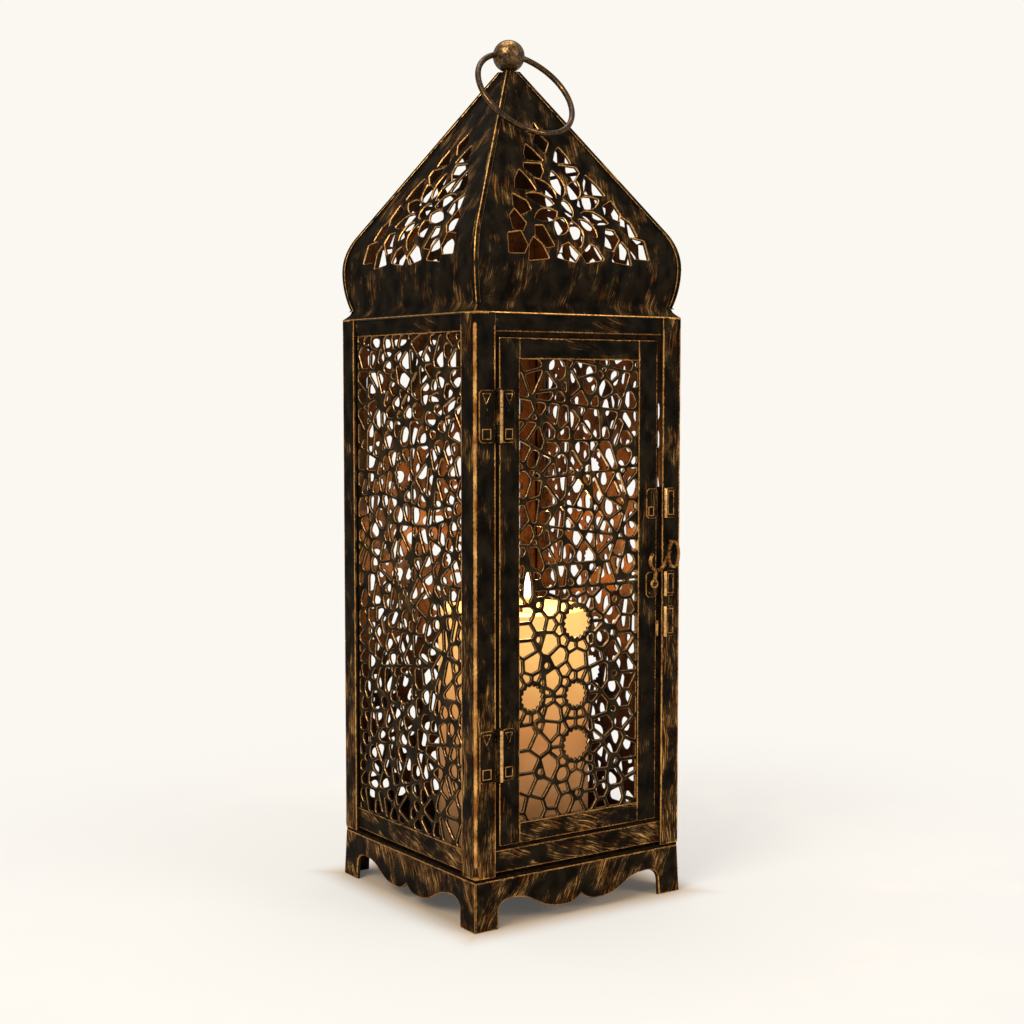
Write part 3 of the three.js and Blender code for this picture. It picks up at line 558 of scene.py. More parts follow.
def upright(quarters, distance):
    """Stands a flat pattern up on one side of the lantern."""
    return lambda x, z, depth: turn((x, depth - distance, z), quarters)


def rectangle(left, right_end, low, high, corner=0.4):
    """An outline with small round corners."""
    points = []
    for x, z, first in (
        (right_end - corner, low + corner, 270), (right_end - corner, high - corner, 0),
        (left + corner, high - corner, 90), (left + corner, low + corner, 180),
    ):
        for angle in (first, first + 45, first + 90):
            dx, dz = cos_sin(angle)
            points.append(((x + corner * dx, z + corner * dz), (-dx, -dz)))
    return points


def filled(outline, spacing):
    """More points along the straight runs of an outline."""
    points = []
    for (here, into), (there, other) in pairs(outline):
        length = math.dist(here, there)
        steps = max(1, round(length / spacing)) if length > spacing * 1.5 else 1
        for step in range(steps):
            t = step / steps
            points.append((
                (here[0] + t * (there[0] - here[0]), here[1] + t * (there[1] - here[1])),
                (into[0] + t * (other[0] - into[0]), into[1] + t * (other[1] - into[1]))
                if step else into,
            ))
    return points


# Corner posts: four strips of painted bronze sheet, each folded round its corner
# with a small radius. They stand on the floor plate and carry rails and roof.

post_face = sheet_bronze("bronze of the posts", 0.92, 0.4, 1.15, low=(50, 170))
edge_bright = rubbed_edge("rubbed edge of frames", 0.8, "905c26", "e2a658")
cut_wall = rubbed_edge("cut wall of a piercing", 0.25, "3a2210", "6a401c")

FOLD = 0.9
POST_LEG = 10.8


def fold(quarters):
    def place(across, z, depth):
        reach = abs(across) - FOLD * math.pi / 4
        if reach >= 0:
            x, y = -HALF + FOLD + reach, -HALF + depth
        else:
            angle = math.pi / 4 - abs(across) / FOLD
            x = -HALF + FOLD - (FOLD - depth) * math.sin(angle)
            y = -HALF + FOLD - (FOLD - depth) * math.cos(angle)
        if across < 0:
            x, y = y, x
        return turn((x, y, z), quarters)
    return place


leg = POST_LEG - FOLD + FOLD * math.pi / 4
across_fold = [-leg + 0.4, -7, -4, -2, -0.7, -0.35, 0, 0.35, 0.7, 2, 4, 7, leg - 0.4]
post_outline = [((x, FLOOR_TOP), (0, 1)) for x in across_fold]
post_outline += [((leg, 23.5 + 6.086 * i), (-1, 0)) for i in range(41)]
post_outline += [((x, WALL_TOP), (0, -1)) for x in reversed(across_fold)]
post_outline += [((-leg, 266.86 - 6.086 * i), (1, 0)) for i in range(41)]
for k in range(4):
    corner_points = [
        (side * across, 24.6 + 4.84 * step, worn)
        for step in range(51)
        for side in (-1, 1)
        for across, worn in ((0.001, 1.0), (0.7, 0.9), (2.4, 0.0))
    ]
    sheet(
        f"post_{CORNERS[k]}", "lantern", [f"corner_post_{CORNERS[k]}"],
        post_outline, fold(k), inner=corner_points, smooth=True,
        faces=[post_face, edge_bright, cut_wall],
    )


# Rails and door frame: flat bars of the same sheet. The rails are soldered behind
# the posts' legs, and the door is four bars that meet round its lattice.

frame_face = sheet_bronze("bronze of door and rails", 0.7, 0.3, reach=1.5)
low_face = sheet_bronze("bronze of the lower rails", 1.15, 1.05)

DOOR_LOW, DOOR_HIGH = 36.4, 256.5
WINDOW_LEFT, WINDOW_RIGHT = -33.6, 32.2

for k in range(4):
    for label, low, high in (("bottom", 24.5, 34.2), ("top", 259.1, WALL_TOP)):
        sheet(
            f"rail_{label}_{SIDES[k]}", "lantern", [f"{label}_rail_{SIDES[k]}"],
            filled(rectangle(-50.2, 50.2, low, high), 5), upright(k, HALF - SHEET), grain=70,
            faces=[low_face if label == "bottom" else frame_face, edge_bright, cut_wall],
        )

for node, left, right_end, low, high, grain in (
    ("door_stile_hinge", -44.2, WINDOW_LEFT, DOOR_LOW, DOOR_HIGH, 2),
    ("door_stile_latch", WINDOW_RIGHT, 42.8, DOOR_LOW, DOOR_HIGH, -2),
    ("door_rail_top", WINDOW_LEFT, WINDOW_RIGHT, 247.5, DOOR_HIGH, 84),
    ("door_rail_bottom", WINDOW_LEFT, WINDOW_RIGHT, DOOR_LOW, 45.3, 70),
):
    sheet(
        node.replace("door_", "door_bar_"), "door", [node],
        filled(rectangle(left, right_end, low, high), 5), upright(0, HALF), grain=grain,
        faces=[low_face if node == "door_rail_bottom" else frame_face, edge_bright, cut_wall],
    )


# The floor plate is turned up behind the bottom rails, which closes the slit
# between plate and rails to the light. These flanges are dark sheets put where there
# is only shade, so their near-black is painted shade; on the hidden parts it is soot
# from the candle.


def plain_bronze():
    shade = Shade("sooted bronze and painted shade of hidden parts")
    grain = shade.cloud(shade.place(), 0.3)
    shade.relief(grain, 0.15, 0.4)
    return shade.set(
        specular_ior_level=0.02,
        base_color=shade.colour(grain.step(0.35, 0.7), "0b0704", "241608"),
        metallic=grain * 0.3,
        roughness=0.7 - grain * 0.2,
    )


# The same near-black stands for soot on the floor plate, washer and nut, and for painted shade on
# the flanges and the door stop.
hidden = plain_bronze()
for k in range(4):
    sheet(
        f"floor_flange_{SIDES[k]}", "lantern", [],
        filled(rectangle(-54, 54, FLOOR_TOP, 27.5), 6), upright(k, HALF - 2 * SHEET),
        thickness=0.5, chamfer=0.1, faces=[hidden] * 3,
    )


# A thin stop frame closes the gap round the door from behind. It is a dark sheet put
# where there is only shade, as painted shade in the gap. A slot at the latch leaves
# the thin line of light that the photograph shows there.

doorway = [(-43.4, 37.6), (41.6, 37.6), (41.6, 254.9), (-43.4, 254.9)]
light_slot = [(44.4, 190), (46.2, 190), (46.2, 233), (44.4, 233)]
sheet(
    "door_stop", "lantern", [], filled(rectangle(-48.2, 48.2, 34.4, 258.9), 8),
    upright(0, 55.78), [rounded(hole, 0.3, 0.0, 35) for hole in (doorway, light_slot)],
    thickness=0.4, chamfer=0.1, faces=[hidden] * 3,
)


# Base aprons: four sheets cut to scallops below, with half a bracket foot at each
# end. They are flared outwards, and mitred and soldered at the corners.

base_face = sheet_bronze("bronze of the base", 1.2, 1.1)
APRON_HALF, APRON_TOP, FLARE = 56.7, 21.7, 0.8


def bezier(start, first, second, end, steps):
    points = []
    for i in range(steps):
        t = i / steps
        points.append(tuple(
            start[k] * (1 - t) ** 3 + 3 * first[k] * t * (1 - t) ** 2
            + 3 * second[k] * t * t * (1 - t) + end[k] * t ** 3
            for k in (0, 1)
        ))
    return points


def apron_outline():
    half = bezier((0, 8.4), (3.2, 5.2), (6, 4.9), (10, 4.9), 6)
    half += bezier((10, 4.9), (24, 4.9), (24, 12.6), (38, 12.6), 14)
    half += bezier((38, 12.6), (42.5, 12.6), (44.9, 10.6), (44.9, 7), 8)
    half += [(44.9, 7), (44.9, 3.5), (44.9, 0)]
    right_half = half + [(50, 0)] + [(APRON_HALF, z) for z in (0, 7, 14, APRON_TOP)]
    top = [(x, APRON_TOP) for x in range(50, -51, -10)]
    left_half = [(-x, z) for x, z in reversed(right_half)]
    return tidy(right_half + top + left_half, 0.2)


def flared(quarters):
    def place(x, z, depth):
        half = APRON_HALF + FLARE * (1 - z / APRON_TOP) - depth
        return turn((x / APRON_HALF * (half - 0.15), -half, z), quarters)
    return place


for k in range(4):
    sheet(
        f"apron_{SIDES[k]}", "lantern", [f"base_apron_{SIDES[k]}"],
        edged(apron_outline(), True), flared(k), grain=(-25, 25)[k % 2], chamfer=0.28,
        faces=[base_face, edge_bright, cut_wall],
    )


# Lattices: thin sheets, pierced and filed, behind the rails. Low on the door,
# openings crowd round stars and small knots, each in its part of a power diagram.
# Elsewhere straight straps cut the sheet, with many ovals between them.

lattice_face = sheet_bronze("bronze of the lattices", 0.4, 0.4, 0.62, lift=0.12)
edge_lattice = rubbed_edge("rubbed edge of lattices", 0.95, "6e4c28", "c0905a")
KNOT_RADIUS = 1.3
OVAL = 4.5  # the corner radius that makes an opening an oval
SMALLEST_CELL, SMALLEST_OPENING = 7, 1.5


def split(polygon, nx, ny, limit):
    parts = (tidy(clip(polygon, nx, ny, limit)), tidy(clip(polygon, -nx, -ny, -limit)))
    return [part for part in parts if len(part) > 2]


def star_contour(x, y, tip, teeth):
    """A round opening with blunt teeth."""
    contour = []
    for i in range(2 * teeth):
        angle = math.pi * i / teeth
        radius = tip * (1 if i % 2 else 0.85)
        dx, dy = math.cos(angle), math.sin(angle)
        contour.append(((x + radius * dx, y + radius * dy), (dx, dy)))
    return contour


def territories(circles, window):
    """The part of the window that belongs to each circle (x, z, radius)."""
    left, right_end, low, high = window
    parts = []
    for x, z, radius in circles:
        part = [(left, low), (right_end, low), (right_end, high), (left, high)]
        for otherx, otherz, other in circles:
            gap = math.dist((x, z), (otherx, otherz))
            if gap == 0 or gap > 70:
                continue
            nx, nz = (otherx - x) / gap, (otherz - z) / gap
            limit = x * nx + z * nz + (gap * gap + radius * radius - other * other) / (2 * gap)
            part = clip(part, nx, nz, limit)
            if len(part) < 3:
                break
        parts.append(tidy(part))
    return parts


def strapwork(sites, window, rng, straps, reach, largest, tall):
    """Openings between straps that pass each site at about the distance reach.
    All is worked out at 1 / tall of the height, which makes upright openings."""
    left, right_end, low, high = window
    circles = [(x, z / tall, 0) for x, z in sites]
    cells = []
    parts = territories(circles, (left, right_end, low / tall, high / tall))
    for (x, z, _), part in zip(circles, parts):
        todo = [part] if len(part) > 2 else []
        for k in range(straps):
            angle = 2 * math.pi * k / straps + rng.uniform(-0.14, 0.14)
            nx, nz = math.cos(angle), math.sin(angle)
            limit = x * nx + z * nz + reach * rng.uniform(0.65, 1.35)
            todo = [piece for cell in todo for piece in split(cell, nx, nz, limit)]
        while todo:
            cell = todo.pop()
            if area(cell) > largest * rng.uniform(1, 1.6):
                cx, cz = middle(cell)
                far_point = max(cell, key=lambda point: math.dist(point, (cx, cz)))
                angle = math.atan2(far_point[1] - cz, far_point[0] - cx) + rng.uniform(-0.3, 0.3)
                nx, nz = math.cos(angle), math.sin(angle)
                todo += split(cell, nx, nz, cx * nx + cz * nz)
            else:
                cells.append([(x0, z0 * tall) for x0, z0 in cell])
    return cells


def rosettes(stars, knots, window, rng):
    """Small openings close to each star, six large ones round them, six round
    each knot, and the rest of the window filled at random."""
    left, right_end, low, high = window
    circles = [(x, z, radius + 0.7) for x, z, radius, _ in stars]
    circles += [(x, z, 2.2) for x, z in knots]
    fixed = len(circles)

    def ring(x, z, count, distance, radius, phase, apart):
        for k in range(count):
            c, s = cos_sin(phase + 360 * k / count)
            spot = (x + distance * c, z + distance * s)
            if all(math.dist(spot, o[:2]) > (radius + o[2]) * apart for o in circles):
                circles.append((*spot, radius))

    for x, z, radius, _ in stars:
        ring(x, z, 12, radius + 3.2, 1.6, 15, 0.6)
        ring(x, z, 6, radius + 9.4, 4.6, 30, 0.74)
    for x, z in knots:
        ring(x, z, 6, 7.4, 4.2, 30, 0.8)
    for radius, tries in ((5, 300), (4.2, 600), (3.4, 900), (2.6, 900)):
        for _ in range(tries):
            ring(rng.uniform(left, right_end), rng.uniform(low, high), 1, 0, radius, 0, 0.96)
    return [part for part in territories(circles, window)[fixed:] if len(part) > 2]


def pierced(cells, stars, knots, rng, rib, soft, ovals):
    """Openings for the cells, with ribs left between, and for stars and knots."""
    openings = []
    for x, z, radius, tall in stars:
        if tall == 1:
            openings.append(star_contour(x, z, radius, 14 if radius < 6 else 16))
    for x, z in knots:
        openings.append([
            ((x + KNOT_RADIUS * c, z + KNOT_RADIUS * s), (c, s)) for c, s in around(10)
        ])
    for cell in cells:
        cx, cz = middle(cell)
        for x, z, radius, tall in stars:
            away = math.hypot(cx - x, (cz - z) / tall)
            if away < radius * 0.75:
                cell = []
            elif away < radius + 12:
                nx, nz = (cx - x) / away, (cz - z) / tall / away
                cell = tidy(clip(cell, -nx, -nz / tall, -(x * nx + z * nz / tall + radius - 0.1)))
        if len(cell) < 3 or area(cell) < SMALLEST_CELL:
            continue
        corner = OVAL if rng.random() < ovals else soft * rng.uniform(0.7, 1.3)
        contour = rounded(cell, corner, rib / 2 * rng.uniform(0.85, 1.15))
        if contour and len(contour) > 5 and area([p for p, _ in contour]) > SMALLEST_OPENING:
            openings.append(contour)
    return openings


def lattice_sheet(name, body, node, window, distance, quarters, openings):
    left, right_end, low, high = window
    sheet(
        name, body, [node], filled(rectangle(left, right_end, low, high), 8),
        upright(quarters, distance), openings, border=0, chamfer=0.25, grain=15,
        faces=[lattice_face, edge_lattice, cut_wall],
    )


rng = random.Random(4)
door_stars = [  # x, z, radius, and how tall for its width
    (-1.5, 130.9, 7.2, 1), (-1.75, 98.6, 5.6, 1), (-1.75, 76.1, 7.1, 1), (-26, 99.3, 5.8, 1),
]
door_knots = [
    (-22.4, 140.2), (-22.4, 124.9), (-18, 113), (-21.6, 86.5), (-21.6, 66.1), (19.5, 140.2),
    (18.4, 124.9), (19.6, 106.2), (19, 90), (20, 66.1), (-1, 54),
]
room_for_drop = (-28.2, 149.5, 2.5, 3.4)
drop = [
    (-28.2, 140.6), (-25.9, 144.5), (-26.2, 150), (-28.2, 158.4), (-30.2, 150), (-30.5, 144.5),
]
calm = rosettes(door_stars, door_knots, (-34.2, 32.8, 44.7, 147), rng)
upper_sites = [(-1.3, 184.8), (-1.3, 239), (-1.3, 130)]
upper_sites += [(x, z) for x in (-48, 45.7) for z in (157.7, 212)]
crossed = strapwork(upper_sites, (-34.2, 32.8, 147, 248.1), rng, 8, 8.5, 60, 1.2)
lattice_sheet(
    "door_lattice_pierced", "door", "door_lattice", (-36.6, 35.2, 42.3, 250.5), HALF - SHEET, 0,
    pierced(calm, [*door_stars, room_for_drop], door_knots, rng, 1.65, 0.5, 0.05)
    + pierced(crossed, [room_for_drop], [], rng, 1.35, 1.0, 0.3)
    + [rounded(drop, 1.0)],
)

for k, seed, middle_x, tall, rib, ovals in (
    (1, 23, 6, 1.6, 1.9, 1.0), (2, 31, -6, 1.6, 1.9, 1.0), (3, 7, -6, 1.25, 1.5, 0.4),
):
    rng = random.Random(seed)
    sites = [(middle_x, z) for z in (44, 97.2, 151, 195.4, 246)]
    sites += [(x, z) for x in (-44, 40) for z in (20, 71, 124, 173, 219, 268)]
    cells = strapwork(sites, (-46.8, 46.8, 33.6, 259.7), rng, 7, 7.5, 62, tall)
    side_stars = [(middle_x, z, radius, 1) for z, radius in ((97.2, 7.0), (151, 7.0), (195.4, 6.7))]
    lattice_sheet(
        f"lattice_pierced_{SIDES[k]}", "lantern", f"lattice_{SIDES[k]}",
        (-49.2, 49.2, 31.2, 262.1), HALF - 2 * SHEET, k,
        pierced(cells, side_stars, [], rng, rib, 1.4, ovals),
    )


# Roof: four pierced sheets, bent from the lip in at the neck, out over the bulge
# and up the straight slope, and mitred at the corners. A flat pattern is (x,
# distance up the profile).

roof_face = sheet_bronze("bronze of the roof", 0.85, 0.64, 0.9, reach=2.2)
edge_roof = rubbed_edge("rubbed edge of the piercings in the roof", 1.15, "8a5826", "e0a45c")
NECK_Z, BULGE_Z, SLOPE_Z, TIP_Z = 271.2, 289.5, 305.751, 381.035
SLOPE_HALF, SLOPE_DEGREES = 51.217, 57.2
BULGE_HALF, ABOVE_RADIUS, BELOW_RADIUS = 56, 30, 57


def roof_half(z):
    """Half the width of the roof at a height."""
    if z > SLOPE_Z:
        return SLOPE_HALF - (z - SLOPE_Z) / math.tan(math.radians(SLOPE_DEGREES))
    if z > NECK_Z:
        radius = ABOVE_RADIUS if z > BULGE_Z else BELOW_RADIUS
        return BULGE_HALF - radius + math.sqrt(radius ** 2 - (z - BULGE_Z) ** 2)
    return HALF - 3.2 * math.sin((z - WALL_TOP) / 4 * math.pi / 2)


profile = []
for step in range(1001):
    z = WALL_TOP + (TIP_Z - WALL_TOP) * step / 1000
    half = roof_half(z)
    length = profile[-1][0] + math.dist((half, z), profile[-1][1:]) if profile else 0.0
    profile.append((length, half, z))
ROOF_LENGTH = profile[-1][0]


def up_the_roof(s):
    """Half width, height and outward direction at a distance up the profile."""
    s = min(max(s, 0.0), ROOF_LENGTH - 1e-6)
    low, high = 0, len(profile) - 1
    while high - low > 1:
        mid = (low + high) // 2
        if profile[mid][0] > s:
            high = mid
        else:
            low = mid
    (s0, h0, z0), (s1, h1, z1) = profile[low], profile[high]
    t = (s - s0) / (s1 - s0)
    before, after = profile[max(low - 6, 0)], profile[min(high + 6, 1000)]
    run, rise = after[1] - before[1], after[2] - before[2]
    length = math.hypot(run, rise)
    return h0 + t * (h1 - h0), z0 + t * (z1 - z0), rise / length, -run / length


def on_roof(quarters):
    def place(x, s, depth):
        half, z, outward, upward = up_the_roof(s)
        y = half - depth * outward
        return turn((x * (y / half if half > 0.1 else 1), -y, z - depth * upward), quarters)
    return place


FLOWER = 52  # the distance up the profile of the flower's middle


def petal(angle, start, end, half):
    points = []
    for side in (-1, 1):
        for t in (0.0, 0.1, 0.25, 0.45, 0.65, 0.85):
            along = t if side < 0 else 1 - t
            wide = side * half * math.sin(math.pi * along ** 0.9) ** 0.8 if 0 < along < 1 else 0
            points.append((start + along * (end - start), wide))
    cos, sin = cos_sin(angle)
    return tidy([(x * cos - y * sin, FLOWER + x * sin + y * cos) for x, y in points], 0.1)


def roof_openings(round_eye):
    wide, tall = (4.2, 4.2) if round_eye else (2.6, 4.6)
    openings = [[((wide * c, FLOWER + tall * s), (c, s)) for c, s in around(18)]]
    for i in range(10):
        length = (20.5, 19.5, 20.5, 20.5, 17.5, 19.5)[min(i, 10 - i)]
        openings.append(rounded(petal(90 + 36 * i, 6.8, length + 0.8, 3.45), 0.3, 0.0, 40))
    half_shapes = [
        [(3.2, 78.9), (12.2, 78.8), (11.6, 82.4), (9.0, 87.2), (6.4, 84.4)],
        [(5.2, 76.6), (5.6, 72.4), (9.4, 67.8), (14.8, 73.4), (14.0, 76.2)],
        [(13.8, 61.6), (24.4, 61.6), (22.4, 66.8), (18.4, 72.0), (15.4, 67.2)],
        [(21.4, 54.6), (20.8, 50.2), (27.0, 47.4), (29.0, 51.0), (27.2, 58.0)],
        [(26.4, 42.6), (29.4, 38.4), (33.8, 39.4), (33.0, 46.0), (29.4, 49.4)],
        [(28.6, 31.6), (30.6, 28.4), (38.0, 28.2), (37.0, 36.4), (30.6, 37.6)],
        [(17.8, 26.6), (27.8, 25.4), (26.6, 32.0), (24.2, 35.2), (20.8, 32.2)],
        [(1.0, 28.6), (3.4, 25.4), (12.4, 27.0), (9.2, 32.0), (6.0, 33.4)],
        [(14.2, 32.2), (18.4, 31.4), (22.6, 36.6), (21.4, 41.0), (17.4, 41.4)],
    ]
    wider = 1.1
    for shape in half_shapes:
        cx, cy = middle(shape)
        shape = [(cx + (x - cx) * wider, cy + (y - cy) * wider) for x, y in shape]
        for half in (shape, [(-x, y) for x, y in reversed(shape)]):
            openings.append(rounded(half, 0.5, 0.0, 35))
    openings.append(rounded([(0, 83.2), (4.3, 89.6), (0, 95.6), (-4.3, 89.6)], 0.6, 0.0, 35))
    if not round_eye:
        openings.append(rounded([(-1.4, 96.6), (1.6, 96.8), (0.4, 101.6)], 0.4, 0.0, 35))
    return [opening for opening in openings if opening]


levels = [i * 1.3 for i in range(33)] + [43 + 5.2 * i for i in range(17)]
levels = [s for s in levels if s < ROOF_LENGTH - 1]
for k in range(4):
    rising = [(up_the_roof(s)[0] - 0.15, s) for s in [*levels, ROOF_LENGTH]]
    crossing = [(x, ROOF_LENGTH) for x in (1.2, -1.2)]
    falling = [(-x, s) for x, s in reversed(rising)]
    footing = [(x, 0.0) for x in range(-48, 49, 8)]
    border_line = tidy(rising + crossing + falling + footing, 0.3)
    grid_points = []
    for s in levels[1:]:
        reach = up_the_roof(s)[0]
        steps = int(reach // 5)
        for i in range(-steps, steps + 1):
            if abs(i * 5) < reach - 2:
                grid_points.append((i * 5.0 + (2.5 if levels.index(s) % 2 else 0), s, 0.0))
    sheet(
        f"roof_{SIDES[k]}", "lantern", [f"roof_panel_{SIDES[k]}"],
        edged(border_line, True), on_roof(k), roof_openings(k != 0), thickness=1.0, chamfer=0.3,
        border=1.6, inner=grid_points, grain=(-12, 8, 10, -10)[k],
        faces=[roof_face, edge_roof, cut_wall], smooth=True,
    )


# Seams: a narrow folded strip of worn bronze over each corner of the roof,
# soldered down to cover the joint between two panels.


def strip(name, body, nodes, rings, materials, bright=(), smooth=True, join=False):
    """A skin over equal rings of points. The sides listed in bright take the
    second material, and join closes the last ring to the first."""
    mesh, worn_layer, grid = new_mesh()
    rows = [[mesh.verts.new([c / 1000 for c in point]) for point in ring] for ring in rings]
    for vert in mesh.verts:
        vert[worn_layer] = 0.6
    count = len(rows[0])
    travelled = 0.0
    for r in range(len(rows) - (0 if join else 1)):
        onward = rows[(r + 1) % len(rows)]
        stretch = (onward[0].co - rows[r][0].co).length * 1000
        for i in range(count):
            j = (i + 1) % count
            face = mesh.faces.new((rows[r][i], rows[r][j], onward[j], onward[i]))
            face.material_index = 1 if i in bright else 0
            face.smooth = smooth
            for loop, (a, b) in zip(face.loops, ((i, 0), (i + 1, 0), (i + 1, 1), (i, 1))):
                loop[grid].uv = (a * 1.1, travelled + b * stretch)
        travelled += stretch
    if not join:
        for row in (list(reversed(rows[0])), rows[-1]):
            mesh.faces.new(row)
    bmesh.ops.recalc_face_normals(mesh, faces=mesh.faces)
    finish_piece(name, mesh, materials, body, nodes)


def turned(profile, count, x=0, y=0):
    """Rings round an upright axis, from pairs of radius and height."""
    return [
        [(x + radius * c, y + radius * s, z) for c, s in around(count)] for radius, z in profile
    ]


seam_face = sheet_bronze("bronze of the roof seams", 0.8, 0.8, 0.6)
for k in range(4):
    rings = []
    stations = [s for s in levels if s > 4.4] + [ROOF_LENGTH - 0.3]
    for s in stations:
        half, z, outward, upward = up_the_roof(s)
        inner_half = half + 0.3
        outer = inner_half + 0.6 / max(outward, 0.5)
        edge = max(inner_half - 1.7, 0.5)
        section = [
            (-outer + 0.3, -outer), (-edge - 0.25, -outer + 0.05), (-edge, -outer + 0.25),
            (-edge, -inner_half), (-inner_half, -inner_half), (-inner_half, -edge),
            (-outer + 0.25, -edge), (-outer + 0.05, -edge - 0.25), (-outer, -outer + 0.3),
        ]
        rings.append([turn((x, y, z), k) for x, y in section])
    strip(
        f"seam_{CORNERS[k]}", "lantern", [f"roof_seam_{CORNERS[k]}"], rings,
        [seam_face, edge_bright], bright=(1, 6, 8), smooth=False,
    )


# Hinges: riveted leaves of sheet with cut corners and raised frames, on post and
# door. Their knuckles roll round one pin, the post's above and below the door's.


def cast_bronze(name, bright):
    """The same finish for solid fittings, which are rubbed all over."""
    shade = Shade(name)
    x, y, z = shade.place()
    return painted_bronze(shade, (x + y) * 0.9 + z * 0.2, z, shade.rub() * bright, 1.0, 1.2)


fitting_face = sheet_bronze("bronze of hinges and latch", 0.7, 0.7, 0.88)
fitting_round = cast_bronze("bronze of knuckles and pins", 1.3)
ridge = rubbed_edge("rubbed ridge of the knuckles", 1.15, "9a6630", "ecbc78")
PIN_X, PIN_Y = -45.2, -58.6
PLATE_FRONT = 57.8
LEAF_HALF = 11.25


def plate(name, body, node, left, right_end, low, high, cut=1.2):
    """A thin plate with cut corners."""
    points = [
        (right_end - cut, low), (right_end, low + cut), (right_end, high - cut),
        (right_end - cut, high), (left + cut, high), (left, high - cut),
        (left, low + cut), (left + cut, low),
    ]
    sheet(
        name, body, [node], filled(edged(points, True), 1.6),
        upright(0, PLATE_FRONT), thickness=0.8, chamfer=0.16, border=0.7,
        faces=[fitting_face, edge_bright, edge_bright],
    )


def raised_frame(name, body, corners, width=0.42):
    """A thin raised outline, as if pressed into a plate from behind."""
    centre = middle(corners)
    hole = []
    for corner in corners:
        away = [a - b for a, b in zip(corner, centre)]
        hole.append(tuple(
            c + d * (1 - 2 * width / max(abs(d) * 2, 1.6)) for c, d in zip(centre, away)
        ))
    sheet(
        name, body, [], edged(corners, True), upright(0, PLATE_FRONT + 0.2),
        [edged(hole, False)], thickness=0.25, chamfer=0.12, border=0, faces=[edge_bright] * 3,
    )


def box(left, right_end, low, high):
    return [(left, low), (right_end, low), (right_end, high), (left, high)]


def dome(name, body, x, z, radius, rise, nodes=()):
    """A rivet head on a plate."""
    rings = [
        [(x + radius * r * c, -PLATE_FRONT - rise * out, z + radius * r * s) for c, s in around(12)]
        for r, out in ((1, 0), (1, 0.35), (0.86, 0.7), (0.55, 0.93), (0.2, 1.0))
    ]
    strip(name, body, nodes, rings, [fitting_round])


def rolled(side):
    """The section of a knuckle: the end of a leaf, rolled round the pin."""
    arc = [cos_sin(degrees) for degrees in range(90, -166, -15)]
    section = [(PIN_X + side * 2.4, -HALF)]
    section += [(PIN_X - side * 1.6 * c, PIN_Y + 1.6 * s) for c, s in arc]
    section += [(PIN_X - side * 0.82 * c, PIN_Y + 0.82 * s) for c, s in reversed(arc)]
    return section + [(PIN_X + side * 2.4, -PLATE_FRONT)]


for level, centre in (("lower", 76.5), ("upper", 222.9)):
    low, high = centre - LEAF_HALF, centre + LEAF_HALF
    for owner, body, left, right_end, near, off, side, spans in (
        (
            "frame", "lantern", -55.0, -47.1, -49.1, -53.7, -1,
            ((-LEAF_HALF, -3.85), (3.85, LEAF_HALF)),
        ),
        ("door", "door", -43.3, -36.6, -41.9, -37.8, 1, ((-3.65, 3.65),)),
    ):
        node = f"hinge_leaf_{owner}_{level}"
        plate(f"leaf_{owner}_{level}", body, node, left, right_end, low, high)
        for number, (start, end) in enumerate(spans):
            rings = [
                [
                    (
                        PIN_X + (x - PIN_X) * size,
                        min(PIN_Y + (y - PIN_Y) * size, -HALF),
                        centre + height,
                    )
                    for x, y in rolled(side)
                ]
                for height, size in ((start, 0.94), (start + 0.2, 1), (end - 0.2, 1), (end, 0.94))
            ]
            strip(
                f"knuckle_{owner}_{level}_{number}", body, [node], rings,
                [fitting_round, ridge], bright=(11, 12, 13, 14), smooth=False,
            )
        raised_frame(
            f"leaf_square_{owner}_{level}", body, box(*sorted((near, off)), low + 1.4, low + 6.0)
        )
        triangle = [(off, high - 1.4), (near, high - 1.4), (off + (near - off) * 0.45, high - 6.2)]
        if area(triangle) < 0:
            triangle.reverse()
        raised_frame(f"leaf_triangle_{owner}_{level}", body, triangle)
        for number, (drop, share) in enumerate(((3.1, 0.35), (8.3, 0.55))):
            x = off + (near - off) * share
            dome(f"rivet_{owner}_{level}_{number}", body, x, high - drop, 0.65, 0.45)
    pin = ((0.4, -12.0), (0.7, -11.8), (0.7, 11.2), (1.35, 11.3), (1.35, 11.8), (0.9, 12.12))
    rings = turned([(radius, centre + height) for radius, height in pin], 12, PIN_X, PIN_Y)
    strip(f"pin_{level}", "lantern", [f"hinge_pin_{level}"], rings, [fitting_round])


# Latch: riveted plates on the door, plates with a rolled edge on the post, an
# oval keeper of wire and a curled hook that turns on its rivet.

hook_round = cast_bronze("bronze of hook and keeper", 1.58)

for node, low, high in (("latch_plate", 139.6, 151.2), ("stop_plate_door", 175.8, 189.4)):
    plate(node.replace("_plate", "_tab"), "door", node, 36.4, 42.8, low, high, 1.3)
raised_frame("stop_square", "door", box(37.3, 40.6, 176.9, 181.2))

for node, low, high in (
    ("keeper_plate", 139.6, 151.2), ("stop_plate_post", 175.8, 189.4),
    ("strike_plate", 120.9, 135.0),
):
    plate(node.replace("_plate", "_tab"), "lantern", node, 47.2, 53.4, low, high)
    corners = box(48.9, 52.4, low + 1.2, high - 1.2)
    raised_frame(node.replace("_plate", "_square"), "lantern", corners)
    bead = ((0.8, low), (1, low + 0.2), (1, high - 0.2), (0.8, high))
    strip(
        node.replace("_plate", "_bead"), "lantern", [node],
        turned(bead, 12, 47.2, -58), [fitting_round, ridge], bright=(7, 8, 9),
    )
for prefix, body, spots in (
    ("rivet_post", "lantern", (
        (51.6, 148.6), (51.6, 142.2), (51.4, 186.6), (51.4, 178.6), (51.2, 132.4), (51.2, 123.6),
    )),
    ("rivet_tab", "door", ((38.3, 186.8), (41.3, 178.4), (38.2, 141.8))),
):
    for number, (x, z) in enumerate(spots):
        dome(f"{prefix}_{number}", body, x, z, 0.6, 0.4)


